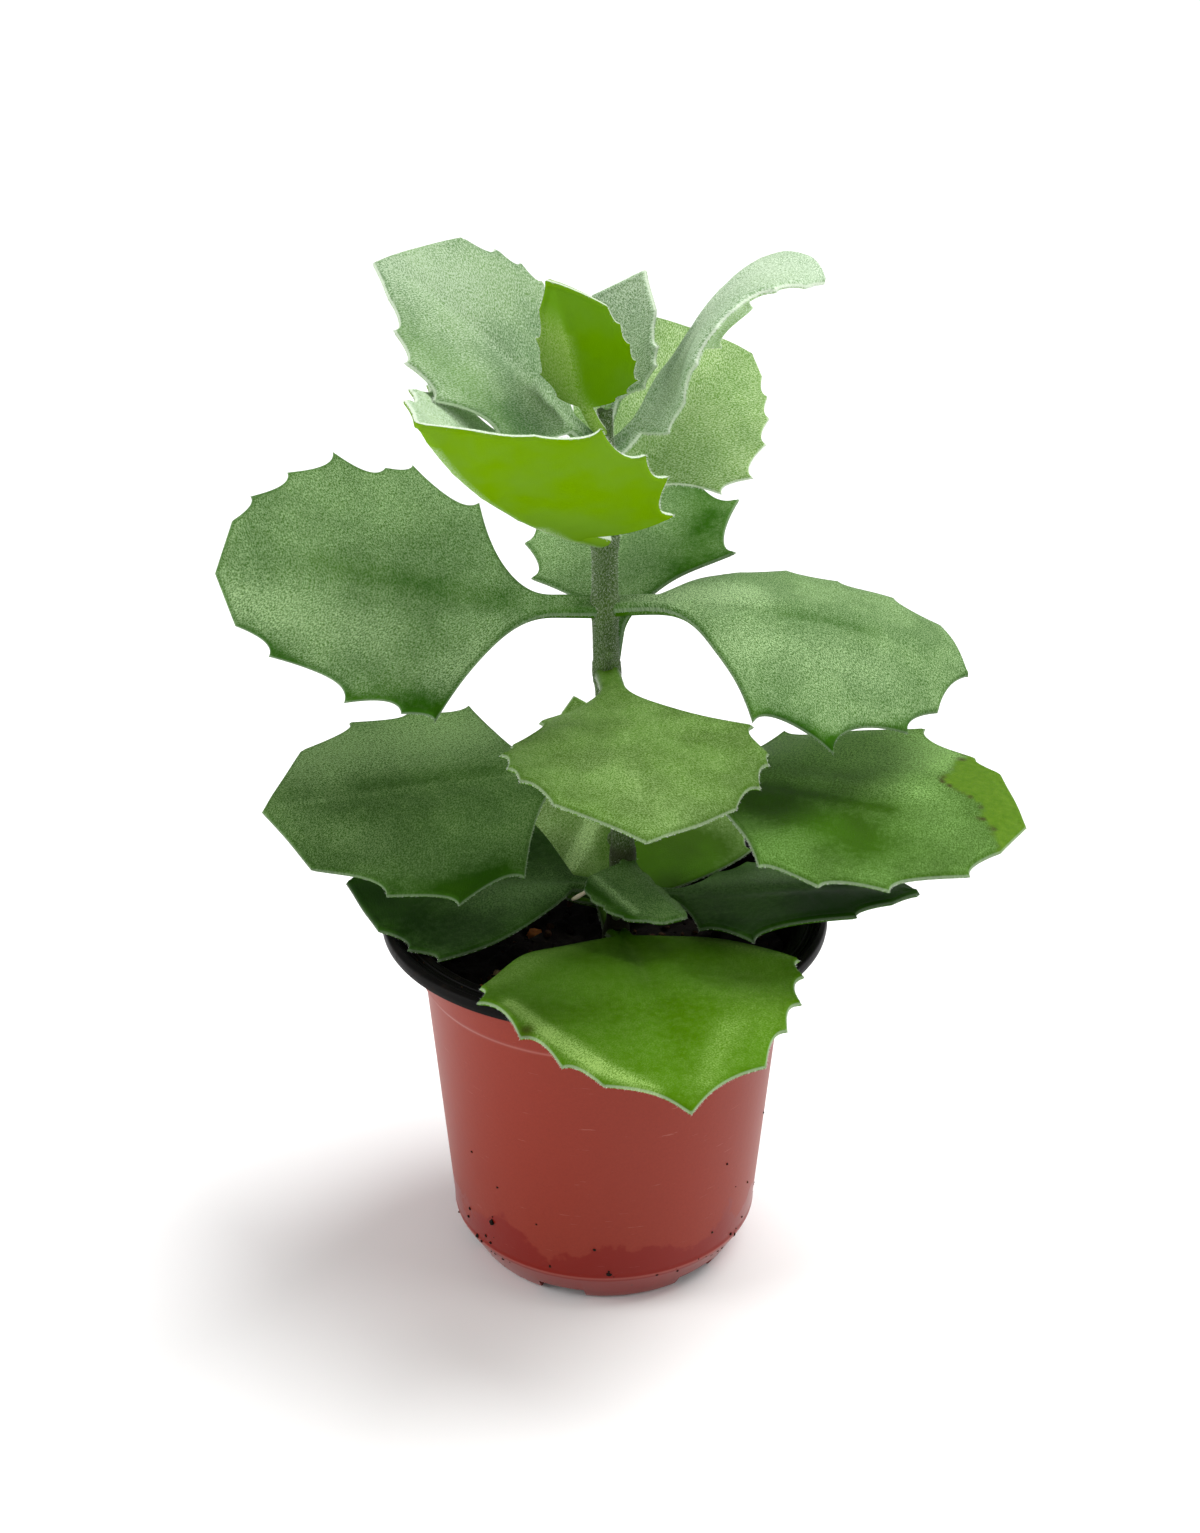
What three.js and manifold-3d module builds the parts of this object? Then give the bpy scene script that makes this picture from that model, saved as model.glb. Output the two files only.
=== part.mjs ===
// Potted kalanchoe: a young felt-leaved plant on one upright stem, in a thermoformed nursery pot.
// Millimetres, +Z up. The origin is the middle of the pot's flat underside, on what it stands on.
// Azimuths are degrees about +Z from +X. Elevations are degrees above the level.
import * as THREE from 'three';
import { mergeVertices } from 'three/addons/utils/BufferGeometryUtils.js';
import Module from 'manifold-3d';

const wasm = await Module();
wasm.setup();
const { lerp, degToRad, smoothstep } = THREE.MathUtils;

const CLEARANCE = 0.3;

// Pot: a foot with a bevel, a tapered wall, a stacking step and a broad rolled rim.
const POT = {
  sides: 40,
  wall: 1.0,
  floor: 1.2,
  footRadius: 31,
  bevelRadius: 36,
  bevelTop: 8.5,
  stepRadius: 41.5,
  stepHeight: 71,
  stepOut: 1.2,
  neckRadius: 44.4,
  rimInner: 45.2,
  rimOuter: 51,
  rimTop: 87,
  lipDrop: 3.2,
};
const SLOTS = { count: 6, first: 12, width: 11, height: 3, depth: 6 };

// Soil: fills the pot to below the rim. Its top is raised by a formula and set with clay granules.
const SOIL = { level: 74.5, relief: 0.9, rings: 5, granules: 12, granuleSize: 2.4, seed: 7 };

// Stem: leans a little, swells at each node, and stands in a plain hole in the soil.
const STEM = {
  foot: 42,
  top: 203,
  sides: 10,
  baseRadius: 2.75,
  topRadius: 1.7,
  taperStart: 170,
  swelling: 0.45,
  swellingReach: 3,
  bow: 4.2,
  bowHeight: 100,
  bowReach: 30,
  nodes: [79, 89, 99, 122, 144.5, 159.5, 175, 193],
};
const BUDS = [
  { height: 149, azimuth: 285, size: 1.0 },
  { height: 103, azimuth: 150, size: 1.2 },
  { height: 86, azimuth: 256, size: 1.3 },
];
const STUB = { height: 94.6, azimuth: 204, length: 13, radius: 0.9, droop: -15 };

// Leaves: thin at the toothed margin, thicker at the rib, with a stout stalk.
const MARGIN_HALF = 0.5;
const RIB_HALF = 1.3;
const SPREAD = [0, 0.45, 0.83, 1];
const NOTCH = { along: 0.3, depth: 0.17 };
const SHOULDER = [0.5, 0];
const STALK = { length: 11, half: 2.7 };
const ROOT = 1.2;

// Each leaf grows from the stem's axis at its node. rise is its elevation and roll its turn about its rib,
// each at the base, middle and tip. fold is each half's slope beside the rib and 30 mm out from it. left
// and right are its teeth, as distance along the rib and out from it. shoulders say how far the margin's
// swing from the stalk to the first tooth is drawn ahead and outwards, notch is the depth between teeth
// and ends the depth between the last tooth and the tip, both as shares of their run.
const LEAVES = [
  { name: 'leaf_a_left', node: 159.5, azimuth: 180, rise: [0, 6, 8], roll: [-28, -41, -55], length: 84,
    shoulders: { left: [0.5, 0], right: [0.62, 0] },
    left: [[34, 30], [41, 28], [53, 26], [70, 17], [78, 11]],
    right: [[29, 26], [45, 33], [51, 31], [63, 32], [72, 25], [79, 18], [82, 12]] },
  { name: 'leaf_a_right', node: 159.5, azimuth: 3, rise: [5, -12, -30], roll: [2, 12, 22], length: 84,
    fold: { left: [-6, -23], right: [-10, -22] }, shoulders: { left: [0.6, 0.8], right: [0.5, 0] },
    ends: { left: 0, right: 0.12 },
    left: [[32, 28], [44, 30.5], [56, 28], [68, 22.5], [78, 16]],
    right: [[31, 33], [52, 35], [71, 22.5], [78, 13.5]] },
  { name: 'leaf_b_front', node: 175, azimuth: 236, rise: [22, 31, 54], roll: [-33, -24, -16], length: 74,
    fold: { left: [28, 58], right: [18, 17] },
    left: [[22, 29], [36, 35], [47, 35], [60, 31], [66, 20]],
    right: [[20, 24], [33, 30], [46, 30], [56, 25], [66, 15]] },
  { name: 'leaf_b_back', node: 175, azimuth: 48, rise: [44, 34, 11], roll: [24, 30, 36], length: 59,
    fold: { left: [9, 4], right: [4, 2] }, shoulders: { left: [0.75, 0], right: [0.75, 0] },
    left: [[16, 20], [26, 25], [36, 25], [47, 20]],
    right: [[21, 17], [29, 20.5], [39, 18], [46, 14.5], [51, 10.5], [55, 6]] },
  { name: 'leaf_c_front', node: 144.5, azimuth: 276, rise: [4, -3, -17], roll: [8, 0, -9], length: 73,
    fold: { left: [-3, -1], right: [-6, 2] },
    left: [[33, 27], [43.5, 28.5], [47, 28], [55, 25], [62, 19]],
    right: [[24, 17], [35.5, 23.5], [40, 26], [48, 25], [54, 23], [62, 17]] },
  { name: 'leaf_c_back', node: 144.5, azimuth: 82, rise: [34, 22, 16], roll: [-11, -8, -6], length: 68,
    fold: { left: [1, 1], right: [10, 5] },
    left: [[29, 21.5], [42, 25], [50, 23], [59, 13]],
    right: [[30, 27], [49.5, 25.5], [60, 14]] },
  { name: 'leaf_d_left', node: 193, azimuth: 180, rise: [43, 44, 28], roll: [-31, -31, -31], length: 62,
    fold: { left: [7, 1], right: [4, 2] }, stalk: { length: 9, half: 2.2 }, notch: 0.22,
    shoulders: { left: [0.35, 0.5], right: [0.5, 0] },
    left: [[20, 20], [37, 24.5], [46.5, 21], [52, 15], [56, 8]],
    right: [[20, 21], [32, 24.5], [37.5, 24], [43, 22.5], [49.5, 19]] },
  { name: 'leaf_d_right', node: 193, azimuth: 9, rise: [29, 57, -44], roll: [50, -10, 25], length: 65.5,
    fold: { left: [5, -61], right: [-1, 1] }, stalk: { length: 9, half: 2.2 },
    shoulders: { left: [0.6, 0.1], right: [0.3, 0.3] },
    left: [[29.5, 26.5], [48.5, 26], [54.5, 13], [59, 14], [62.5, 7]],
    right: [[13, 10.5], [21, 16], [29.5, 24], [37, 23.5], [42, 21], [46, 17], [50, 18], [58, 10]] },
  { name: 'leaf_e_front', node: 197.5, azimuth: 232, rise: [35, 75, 41], roll: [15, 5, -5], length: 41,
    fold: { left: [15, 17], right: [10, 18] }, stalk: { length: 9.5, half: 1.4 }, rib: 0.9,
    shoulders: { left: [0.1, 0.9], right: [0.1, 0.9] },
    left: [[10.5, 6.5], [12, 9.5], [15.5, 12.5], [20.5, 13], [24.5, 12.5], [29, 11.5], [33, 10]],
    right: [[11, 7.5], [15.5, 11], [20, 10], [23.5, 10.5], [30, 8]] },
  { name: 'leaf_e_back', node: 198.5, azimuth: 53, rise: [58, 68, 70], roll: [1, -3, -7], length: 34,
    fold: { left: [12, 10], right: [16, 12] }, stalk: { length: 6, half: 1.5 }, rib: 0.9,
    left: [[9, 10], [15, 12], [21, 12], [27, 11]],
    right: [[10, 9], [15, 11], [19, 10], [26, 7]] },
  { name: 'leaf_f_left', node: 122, azimuth: 192, rise: [-3, -2, -3], roll: [-13, -15, -18], length: 78.5,
    fold: { left: [-6, -5], right: [-3, -5] }, notch: 0.14,
    left: [[26, 29.5], [41, 34.5], [55.5, 29], [70, 18]],
    right: [[28, 31.5], [42.5, 30], [56, 29], [68, 19.5]] },
  { name: 'leaf_f_right', node: 122, azimuth: -16, rise: [0, -1, -5], roll: [-4, 5, 15], length: 91,
    fold: { left: [-3, -2], right: [-2, 1] }, notch: 0.13,
    left: [[32, 31], [64, 33.5], [77, 22], [83, 17.5]],
    right: [[40, 34], [53, 36], [67, 31], [82, 19], [87, 10]] },
  { name: 'leaf_g_front', node: 99, azimuth: 293, rise: [-5, 1, 2], roll: [-11, -7, -3], length: 31.5,
    fold: { left: [-19, -11], right: [-10, -30] }, stalk: { length: 3, half: 2 }, notch: -0.12,
    shoulders: { left: [0.5, 0], right: [0.1, 0.5] }, ends: { left: -0.2, right: -0.2 },
    left: [[7, 2.2], [14, 2.4], [21, 3], [27, 3]],
    right: [[4.5, 9.5], [8, 12.7], [12, 13], [17, 12], [23, 10.2], [28, 6.5]] },
  { name: 'leaf_h_left', node: 89, azimuth: 175, rise: [17, -3, 0], roll: [-3, -4, -9], length: 64,
    fold: { left: [1, -2], right: [2, 1] }, shoulders: { left: [0.35, 0.85], right: [0.45, 0.5] },
    left: [[38, 32], [45.5, 27], [53, 20]],
    right: [[23, 26], [33, 28], [44, 24], [54, 15]] },
  { name: 'leaf_h_right', node: 89, azimuth: -8, rise: [1, 8, -1], roll: [-1, -4, -7], length: 68,
    fold: { left: [-5, -2], right: [1, -2] },
    left: [[20, 17], [27, 23], [40, 26], [52, 20], [60, 12]],
    right: [[20, 18], [33, 26.5], [54.5, 14.5], [62, 7.5]] },
  { name: 'leaf_i_front', node: 79, azimuth: 280, rise: [22, 5, -18], roll: [-2, 0, 1], length: 85,
    fold: { left: [3, 2], right: [3, 2] }, shoulders: { left: [0.12, 0.6], right: [0.12, 0.6] },
    ends: { left: 0.1, right: 0.1 },
    left: [[39.5, 33.5], [47, 32.5], [58, 29], [67.5, 23.5], [76, 17]],
    right: [[38.5, 36], [46, 37.5], [60.5, 30.5], [70.5, 23.5], [76, 16]] },
  { name: 'leaf_i_back', node: 79, azimuth: 99.5, rise: [8, 28, 62], roll: [0, 2, 4], length: 72,
    fold: { left: [4, 6], right: [6, 10] }, shoulders: { left: [0.15, 0.65], right: [0.15, 0.65] },
    left: [[24, 20], [38, 23], [50, 20], [60, 12], [68, 3.5]],
    right: [[22, 37], [35, 41], [49, 33], [60, 18]] },
];

// The two tiny leaves at the stem's tip, which are still part of it.
const TIP_LEAVES = [
  { azimuth: 318, rise: [70, 76, 84], length: 8 },
  { azimuth: 138, rise: [82, 84, 86], length: 6 },
].map((leaf) => ({ ...leaf, node: 202, roll: [0, 0, 0], stalk: { length: 2.5, half: 0.8 }, rib: 0.7,
  left: [[4, 1.2], [6, 1]], right: [[4, 1.2], [6, 1]] }));

const COLOURS = {
  pot: 0x9a4a41,
  soil: 0x241a14,
  stem: 0x5f7a45,
  leafLow: 0x4c7a34,
  leafHigh: 0x9dbb95,
};

// ---- solids ----

function solidOf(geometry) {
  const bare = new THREE.BufferGeometry();
  bare.setAttribute('position', geometry.getAttribute('position'));
  if (geometry.index) bare.setIndex(geometry.index);
  const merged = mergeVertices(bare, 1e-4);
  const index = merged.index.array;
  const kept = [];
  for (let i = 0; i < index.length; i += 3) {
    const [a, b, c] = index.slice(i, i + 3);
    if (a !== b && b !== c && c !== a) kept.push(a, b, c);
  }
  return new wasm.Manifold(new wasm.Mesh({
    numProp: 3,
    vertProperties: new Float32Array(merged.getAttribute('position').array),
    triVerts: new Uint32Array(kept),
  }));
}

function geometryOf(solid) {
  const mesh = solid.getMesh();
  return indexed(mesh.vertProperties, mesh.triVerts);
}

function indexed(coordinates, triangles) {
  const geometry = new THREE.BufferGeometry();
  geometry.setAttribute('position', new THREE.Float32BufferAttribute(coordinates, 3));
  geometry.setIndex(Array.from(triangles));
  geometry.computeVertexNormals();
  return geometry;
}

function turned(profile, sides) {
  const points = profile.map(([radius, height]) => new THREE.Vector2(radius, height));
  return new THREE.LatheGeometry(points, sides).rotateX(Math.PI / 2);
}

function direction(azimuth, elevation) {
  const level = Math.cos(degToRad(elevation));
  const turn = degToRad(azimuth);
  return new THREE.Vector3(level * Math.cos(turn), level * Math.sin(turn), Math.sin(degToRad(elevation)));
}

function quads(ring, next) {
  const faces = [];
  ring.forEach((corner, i) => {
    const j = (i + 1) % ring.length;
    faces.push(corner, ring[j], next[j], corner, next[j], next[i]);
  });
  return faces;
}

// Rings of equal count, lowest first and anticlockwise seen from above, closed at both ends by a point.
function lofted(rings, bottom, top) {
  const points = [bottom, ...rings.flat(), top];
  const sides = rings[0].length;
  const rows = rings.map((ring, r) => ring.map((point, i) => 1 + r * sides + i));
  const faces = [];
  rows.slice(1).forEach((row, r) => faces.push(...quads(rows[r], row)));
  for (let i = 0; i < sides; i += 1) {
    const j = (i + 1) % sides;
    faces.push(0, rows[0][j], rows[0][i]);
    faces.push(points.length - 1, rows.at(-1)[i], rows.at(-1)[j]);
  }
  return indexed(points.flatMap((point) => point.toArray()), faces);
}

// ---- pot ----

function pot() {
  const { wall, stepHeight, stepOut, rimTop, rimInner, rimOuter, lipDrop, neckRadius } = POT;
  const flange = rimTop - 1.4;
  const outside = [
    [0, 0], [POT.footRadius, 0], [POT.bevelRadius, POT.bevelTop], [POT.stepRadius, stepHeight],
    [POT.stepRadius + stepOut, stepHeight + 1.5], [neckRadius, flange - 1.2], [neckRadius + 1.2, flange],
    [rimOuter - 1.6, flange - 0.3], [rimOuter - 1.1, rimTop - lipDrop], [rimOuter, rimTop - lipDrop + 0.2],
    [rimOuter - 0.2, flange], [rimOuter - 1.2, rimTop],
  ];
  const inside = [
    [rimInner + 1.5, rimTop - 0.5], [rimInner, rimTop], [neckRadius - wall, flange - 1],
    [POT.stepRadius + stepOut - wall, stepHeight + 1.8], [POT.stepRadius - wall, stepHeight + 0.3],
    [POT.bevelRadius - wall, POT.bevelTop + 0.2], [POT.footRadius - wall * 0.7, POT.floor], [0, POT.floor],
  ];
  let solid = solidOf(turned([...outside, ...inside], POT.sides));
  for (let i = 0; i < SLOTS.count; i += 1) {
    const slot = new THREE.BoxGeometry(SLOTS.depth, SLOTS.width, SLOTS.height * 2);
    slot.translate(POT.footRadius, 0, 0);
    slot.rotateZ(degToRad(SLOTS.first + (360 * i) / SLOTS.count));
    solid = solid.subtract(solidOf(slot));
  }
  return geometryOf(solid);
}

// ---- soil ----

function soilHeight(x, y) {
  const waves = Math.sin(x * 0.31 + 1.7) * Math.cos(y * 0.27) + 0.6 * Math.sin(x * 0.83 - y * 0.71);
  return SOIL.level + SOIL.relief * waves * 0.6;
}

function randomDraw(seed) {
  let state = seed;
  return () => {
    state = (state * 16807) % 2147483647;
    return state / 2147483647;
  };
}

function soilBody() {
  const edge = POT.wall + CLEARANCE;
  const ring = (radius, height) => Array.from({ length: POT.sides }, (none, i) => {
    const turn = (2 * Math.PI * i) / POT.sides;
    const x = radius * Math.cos(turn);
    const y = radius * Math.sin(turn);
    return new THREE.Vector3(x, y, height ?? soilHeight(x, y));
  });
  const brim = POT.stepRadius + POT.stepOut - edge;
  const rings = [
    ring(POT.footRadius - edge, POT.floor + CLEARANCE),
    ring(POT.bevelRadius - edge, POT.bevelTop + CLEARANCE),
    ring(POT.stepRadius - edge, POT.stepHeight + CLEARANCE),
    ring(brim, POT.stepHeight + 2.2),
  ];
  for (let r = 0; r < SOIL.rings; r += 1) {
    rings.push(ring(brim * (1 - r / SOIL.rings)));
  }
  const middle = soilHeight(0, 0);
  return lofted(rings, new THREE.Vector3(0, 0, POT.floor + CLEARANCE), new THREE.Vector3(0, 0, middle));
}

function soil() {
  let solid = solidOf(soilBody());
  const draw = randomDraw(SOIL.seed);
  for (let i = 0; i < SOIL.granules; i += 1) {
    const turn = 2 * Math.PI * (i * 0.382 + 0.05 * draw());
    const radius = lerp(9, 37, Math.sqrt((i + 0.5) / SOIL.granules));
    const size = SOIL.granuleSize * lerp(0.6, 1, draw());
    const x = radius * Math.cos(turn);
    const y = radius * Math.sin(turn);
    const granule = new THREE.IcosahedronGeometry(size, 0);
    granule.scale(1, lerp(0.7, 0.9, draw()), 0.7);
    granule.rotateZ(draw() * Math.PI);
    granule.translate(x, y, soilHeight(x, y) - size * 0.1);
    solid = solid.add(solidOf(granule));
  }
  return geometryOf(solid.subtract(solidOf(stemShaft(CLEARANCE))));
}

// ---- stem ----

function stemCentre(height) {
  const bow = STEM.bow * Math.exp(-(((height - STEM.bowHeight) / STEM.bowReach) ** 2));
  return new THREE.Vector3(bow, 0, height);
}

function stemRadius(height) {
  const taper = lerp(STEM.baseRadius, STEM.topRadius, smoothstep(height, STEM.taperStart, STEM.top));
  const swellings = STEM.nodes.map((node) => Math.max(0, 1 - Math.abs(height - node) / STEM.swellingReach));
  return taper + STEM.swelling * Math.max(...swellings);
}

function stemShaft(clearance) {
  const { foot, top, swellingReach } = STEM;
  const around = STEM.nodes.flatMap((node) => [node - swellingReach, node, node + swellingReach]);
  const heights = [foot, 62, ...around, 110, 133, 152, 167, 184, top];
  heights.sort((a, b) => a - b);
  const rings = heights.map((height) => {
    const centre = stemCentre(height);
    return Array.from({ length: STEM.sides }, (none, i) => {
      const out = direction((360 * i) / STEM.sides, 0);
      return centre.clone().addScaledVector(out, stemRadius(height) + clearance);
    });
  });
  rings[0].forEach((point) => point.setZ(foot - clearance));
  rings.at(-1).forEach((point) => point.setZ(top + clearance));
  return lofted(rings, stemCentre(foot - clearance), stemCentre(top + 1 + clearance));
}

function stem() {
  let solid = solidOf(stemShaft(0));
  for (const { height, azimuth, size } of BUDS) {
    const bud = new THREE.SphereGeometry(size, 6, 4).rotateX(Math.PI / 2).scale(1, 1, 1.3);
    const seat = stemCentre(height).addScaledVector(direction(azimuth, 0), stemRadius(height));
    solid = solid.add(solidOf(bud.translate(...seat)));
  }
  const stub = new THREE.CylinderGeometry(STUB.radius * 0.5, STUB.radius, STUB.length, 6);
  stub.translate(0, STUB.length / 2, 0);
  const lie = new THREE.Quaternion();
  lie.setFromUnitVectors(new THREE.Vector3(0, 1, 0), direction(STUB.azimuth, STUB.droop));
  stub.applyQuaternion(lie).translate(...stemCentre(STUB.height));
  solid = solid.add(solidOf(stub));
  for (const leaf of TIP_LEAVES) {
    solid = solid.add(solidOf(leafGeometry(leaf)));
  }
  return geometryOf(solid);
}

// ---- leaves ----

// A curve through three values at 0, a half and 1.
function through([start, middle, end], t) {
  return start * (1 - t) * (1 - 2 * t) + middle * 4 * t * (1 - t) + end * t * (2 * t - 1);
}

// The rib as a chain of short straight steps, each with the blade's left-hand and upward directions.
function ribOf({ node, azimuth, rise, roll, length }) {
  const steps = 80;
  const point = stemCentre(node);
  const side = direction(azimuth + 90, 0);
  return Array.from({ length: steps + 1 }, (none, i) => {
    const t = i / steps;
    const along = direction(azimuth, through(rise, t));
    const level = new THREE.Vector3().crossVectors(along, side);
    const turn = degToRad(through(roll, t));
    const left = side.clone().multiplyScalar(Math.cos(turn)).addScaledVector(level, Math.sin(turn));
    const up = new THREE.Vector3().crossVectors(along, left);
    const here = { point: point.clone(), left, up };
    point.addScaledVector(direction(azimuth, through(rise, t + 0.5 / steps)), length / steps);
    return here;
  });
}

// The leaf's surface at a distance along the rib and out from it (left is positive), lifted off its
// middle sheet. Each half curves away from the rib as an arc whose slope goes from fold[0] to fold[1].
function surfacePoint(leaf, rib, along, out, lift) {
  const reach = 30;
  const place = THREE.MathUtils.clamp(along / leaf.length, 0, 1) * (rib.length - 1);
  const low = Math.min(Math.floor(place), rib.length - 2);
  const part = place - low;
  const blend = (key) => rib[low][key].clone().lerp(rib[low + 1][key], part);
  const [left, up] = [blend('left').normalize(), blend('up').normalize()];
  const hand = out < 0 ? -1 : 1;
  const fold = leaf.fold ? leaf.fold[out < 0 ? 'right' : 'left'] : [0, 0];
  const [first, last] = fold.map(degToRad);
  const distance = Math.abs(out);
  const slope = lerp(first, last, distance / reach);
  const bend = (last - first) / reach;
  const straight = Math.abs(bend) < 1e-6;
  const across = straight ? distance * Math.cos(first) : (Math.sin(slope) - Math.sin(first)) / bend;
  const climb = straight ? distance * Math.sin(first) : (Math.cos(first) - Math.cos(slope)) / bend;
  return blend('point')
    .addScaledVector(left, hand * (across - lift * Math.sin(slope)))
    .addScaledVector(up, climb + lift * Math.cos(slope));
}

function halfThickness(leaf, along, spread) {
  const stalk = leaf.stalk ?? STALK;
  const rib = (leaf.rib ?? RIB_HALF) - MARGIN_HALF;
  const blade = MARGIN_HALF + rib * (1 - spread) ** 2 * (1 - (0.6 * along) / leaf.length);
  const round = stalk.half * 0.85 * Math.sqrt(1 - 0.9 * spread * spread);
  return lerp(round, blade, smoothstep(along, stalk.length * 0.8, stalk.length * 2.4));
}

function curve(start, control, end, pieces) {
  const line = new THREE.QuadraticBezierCurve(...[start, control, end].map((p) => new THREE.Vector2(...p)));
  return line.getPoints(pieces).slice(1).map((point) => point.toArray());
}

// From one tooth to the next: the margin cuts in steeply past a tooth and runs gently up to the next.
function betweenTeeth(start, end, depth, along) {
  const run = [end[0] - start[0], end[1] - start[1]];
  const middle = [start[0] + run[0] * along + run[1] * depth, start[1] + run[1] * along - run[0] * depth];
  const control = middle.map((value, i) => 2 * value - (start[i] + end[i]) / 2);
  return curve(start, control, end, 2);
}

function marginOf(leaf, hand) {
  const teeth = leaf[hand];
  const stalk = leaf.stalk ?? STALK;
  const [ahead, outwards] = leaf.shoulders?.[hand] ?? SHOULDER;
  const neck = [stalk.length, stalk.half];
  const control = [lerp(stalk.length, teeth[0][0], ahead), lerp(stalk.half, teeth[0][1], outwards)];
  const points = [[ROOT, stalk.half], neck, ...curve(neck, control, teeth[0], 3)];
  teeth.slice(1).forEach((tooth, i) => {
    points.push(...betweenTeeth(teeth[i], tooth, leaf.notch ?? NOTCH.depth, NOTCH.along));
  });
  points.push(...betweenTeeth(teeth.at(-1), [leaf.length, 0], leaf.ends?.[hand] ?? 0, 0.5));
  return points;
}

// Halves the longest stretches of the blade's margin until it has so many points.
function padded(points, count) {
  const out = [...points];
  while (out.length < count) {
    const runs = out.slice(1).map((p, i) => (i === 0 ? 0 : Math.hypot(p[0] - out[i][0], p[1] - out[i][1])));
    const at = runs.indexOf(Math.max(...runs)) + 1;
    out.splice(at, 0, [(out[at - 1][0] + out[at][0]) / 2, (out[at - 1][1] + out[at][1]) / 2]);
  }
  return out;
}

function ribStations(left, right, length) {
  const leastStep = 0.8;
  const stations = left.map((point, i) => (point[0] + right[i][0]) / 2);
  for (let i = 1; i < stations.length; i += 1) {
    stations[i] = Math.max(stations[i], stations[i - 1] + leastStep);
  }
  const scale = length / stations.at(-1);
  return stations.map((station) => station * scale);
}

// A leaf is rows of points across the blade, from its right margin to its left, on the top and the
// underside alike, and ends in one point on each. Both faces are split along the same diagonals.
function leafGeometry(leaf) {
  const rib = ribOf(leaf);
  const margins = [marginOf(leaf, 'right'), marginOf(leaf, 'left')];
  const count = Math.max(...margins.map((margin) => margin.length));
  const [right, left] = margins.map((margin) => padded(margin, count));
  const stations = ribStations(left, right, leaf.length);
  const columns = [...SPREAD.slice(1).reverse().map((v) => -v), ...SPREAD];
  const faces = { 1: [], '-1': [] };
  for (const face of [1, -1]) {
    for (let row = 0; row < count - 1; row += 1) {
      for (const column of columns) {
        const margin = column < 0 ? right[row] : left[row];
        const spread = Math.abs(column);
        const along = lerp(stations[row], margin[0], spread);
        const lift = face * halfThickness(leaf, along, spread);
        faces[face].push(surfacePoint(leaf, rib, along, margin[1] * column, lift));
      }
    }
    faces[face].push(surfacePoint(leaf, rib, leaf.length, 0, face * MARGIN_HALF));
  }
  const width = columns.length;
  const rows = count - 1;
  const under = rows * width + 1;
  const at = (row, column) => (row < rows ? row * width + column : rows * width);
  const triangles = [];
  const both = (a, b, c) => triangles.push(a, b, c, a + under, c + under, b + under);
  const wall = (a, b) => triangles.push(a, a + under, b + under, a, b + under, b);
  for (let row = 0; row < rows; row += 1) {
    for (let column = 0; column < width - 1; column += 1) {
      const [a, b] = [at(row, column), at(row + 1, column)];
      const [c, d] = [at(row + 1, column + 1), at(row, column + 1)];
      if (row === rows - 1) {
        both(a, b, d);
      } else if (columns[column] < 0) {
        both(a, b, d);
        both(b, c, d);
      } else {
        both(a, b, c);
        both(a, c, d);
      }
    }
    wall(at(row, 0), at(row + 1, 0));
    wall(at(row + 1, width - 1), at(row, width - 1));
  }
  for (let column = 0; column < width - 1; column += 1) {
    wall(at(0, column + 1), at(0, column));
  }
  const points = [...faces[1], ...faces[-1]];
  return indexed(points.flatMap((point) => point.toArray()), triangles);
}

function leaf(shape, socket) {
  return geometryOf(solidOf(leafGeometry(shape)).subtract(socket));
}

// ---- assembly ----

const plant = new THREE.Group();

function place(name, geometry, color, roughness) {
  const material = new THREE.MeshStandardMaterial({ color, roughness, metalness: 0 });
  const mesh = new THREE.Mesh(geometry, material);
  mesh.name = name;
  plant.add(mesh);
}

place('pot', pot(), COLOURS.pot, 0.45);
place('soil', soil(), COLOURS.soil, 0.95);
place('stem', stem(), COLOURS.stem, 0.8);
const socket = solidOf(stemShaft(CLEARANCE));
for (const shape of LEAVES) {
  const youth = smoothstep(shape.node, 130, 195);
  const colour = new THREE.Color(COLOURS.leafLow).lerp(new THREE.Color(COLOURS.leafHigh), youth);
  place(shape.name, leaf(shape, socket), colour, 0.85);
}

export default plant;
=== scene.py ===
"""A potted kalanchoe: fine leaf surfaces with felt and fringe, stem, soil, pot and a pale studio.

Shapes are worked out in millimetres, +Z up, by the same formulas as the solids, and put in metres when
a mesh is made. Azimuths are degrees about +Z from +X, and elevations degrees above the level.
"""
import math

import bpy
import numpy as np
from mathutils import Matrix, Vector, noise
from mathutils.geometry import delaunay_2d_cdt


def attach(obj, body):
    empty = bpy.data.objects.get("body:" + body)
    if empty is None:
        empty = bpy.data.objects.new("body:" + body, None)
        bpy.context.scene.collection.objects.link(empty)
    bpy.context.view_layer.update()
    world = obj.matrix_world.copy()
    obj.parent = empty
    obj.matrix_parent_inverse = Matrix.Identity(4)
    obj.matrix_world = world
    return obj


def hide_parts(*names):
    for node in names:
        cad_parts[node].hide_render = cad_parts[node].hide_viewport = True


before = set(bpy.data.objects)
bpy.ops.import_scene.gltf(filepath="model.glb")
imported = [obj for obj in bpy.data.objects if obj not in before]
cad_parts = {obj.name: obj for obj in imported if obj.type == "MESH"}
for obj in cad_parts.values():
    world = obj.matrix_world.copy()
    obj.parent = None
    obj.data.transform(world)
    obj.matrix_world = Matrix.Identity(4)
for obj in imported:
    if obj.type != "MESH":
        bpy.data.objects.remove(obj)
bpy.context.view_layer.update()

MM = 0.001

# ---- driving dimensions, as on the solids ----

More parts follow.
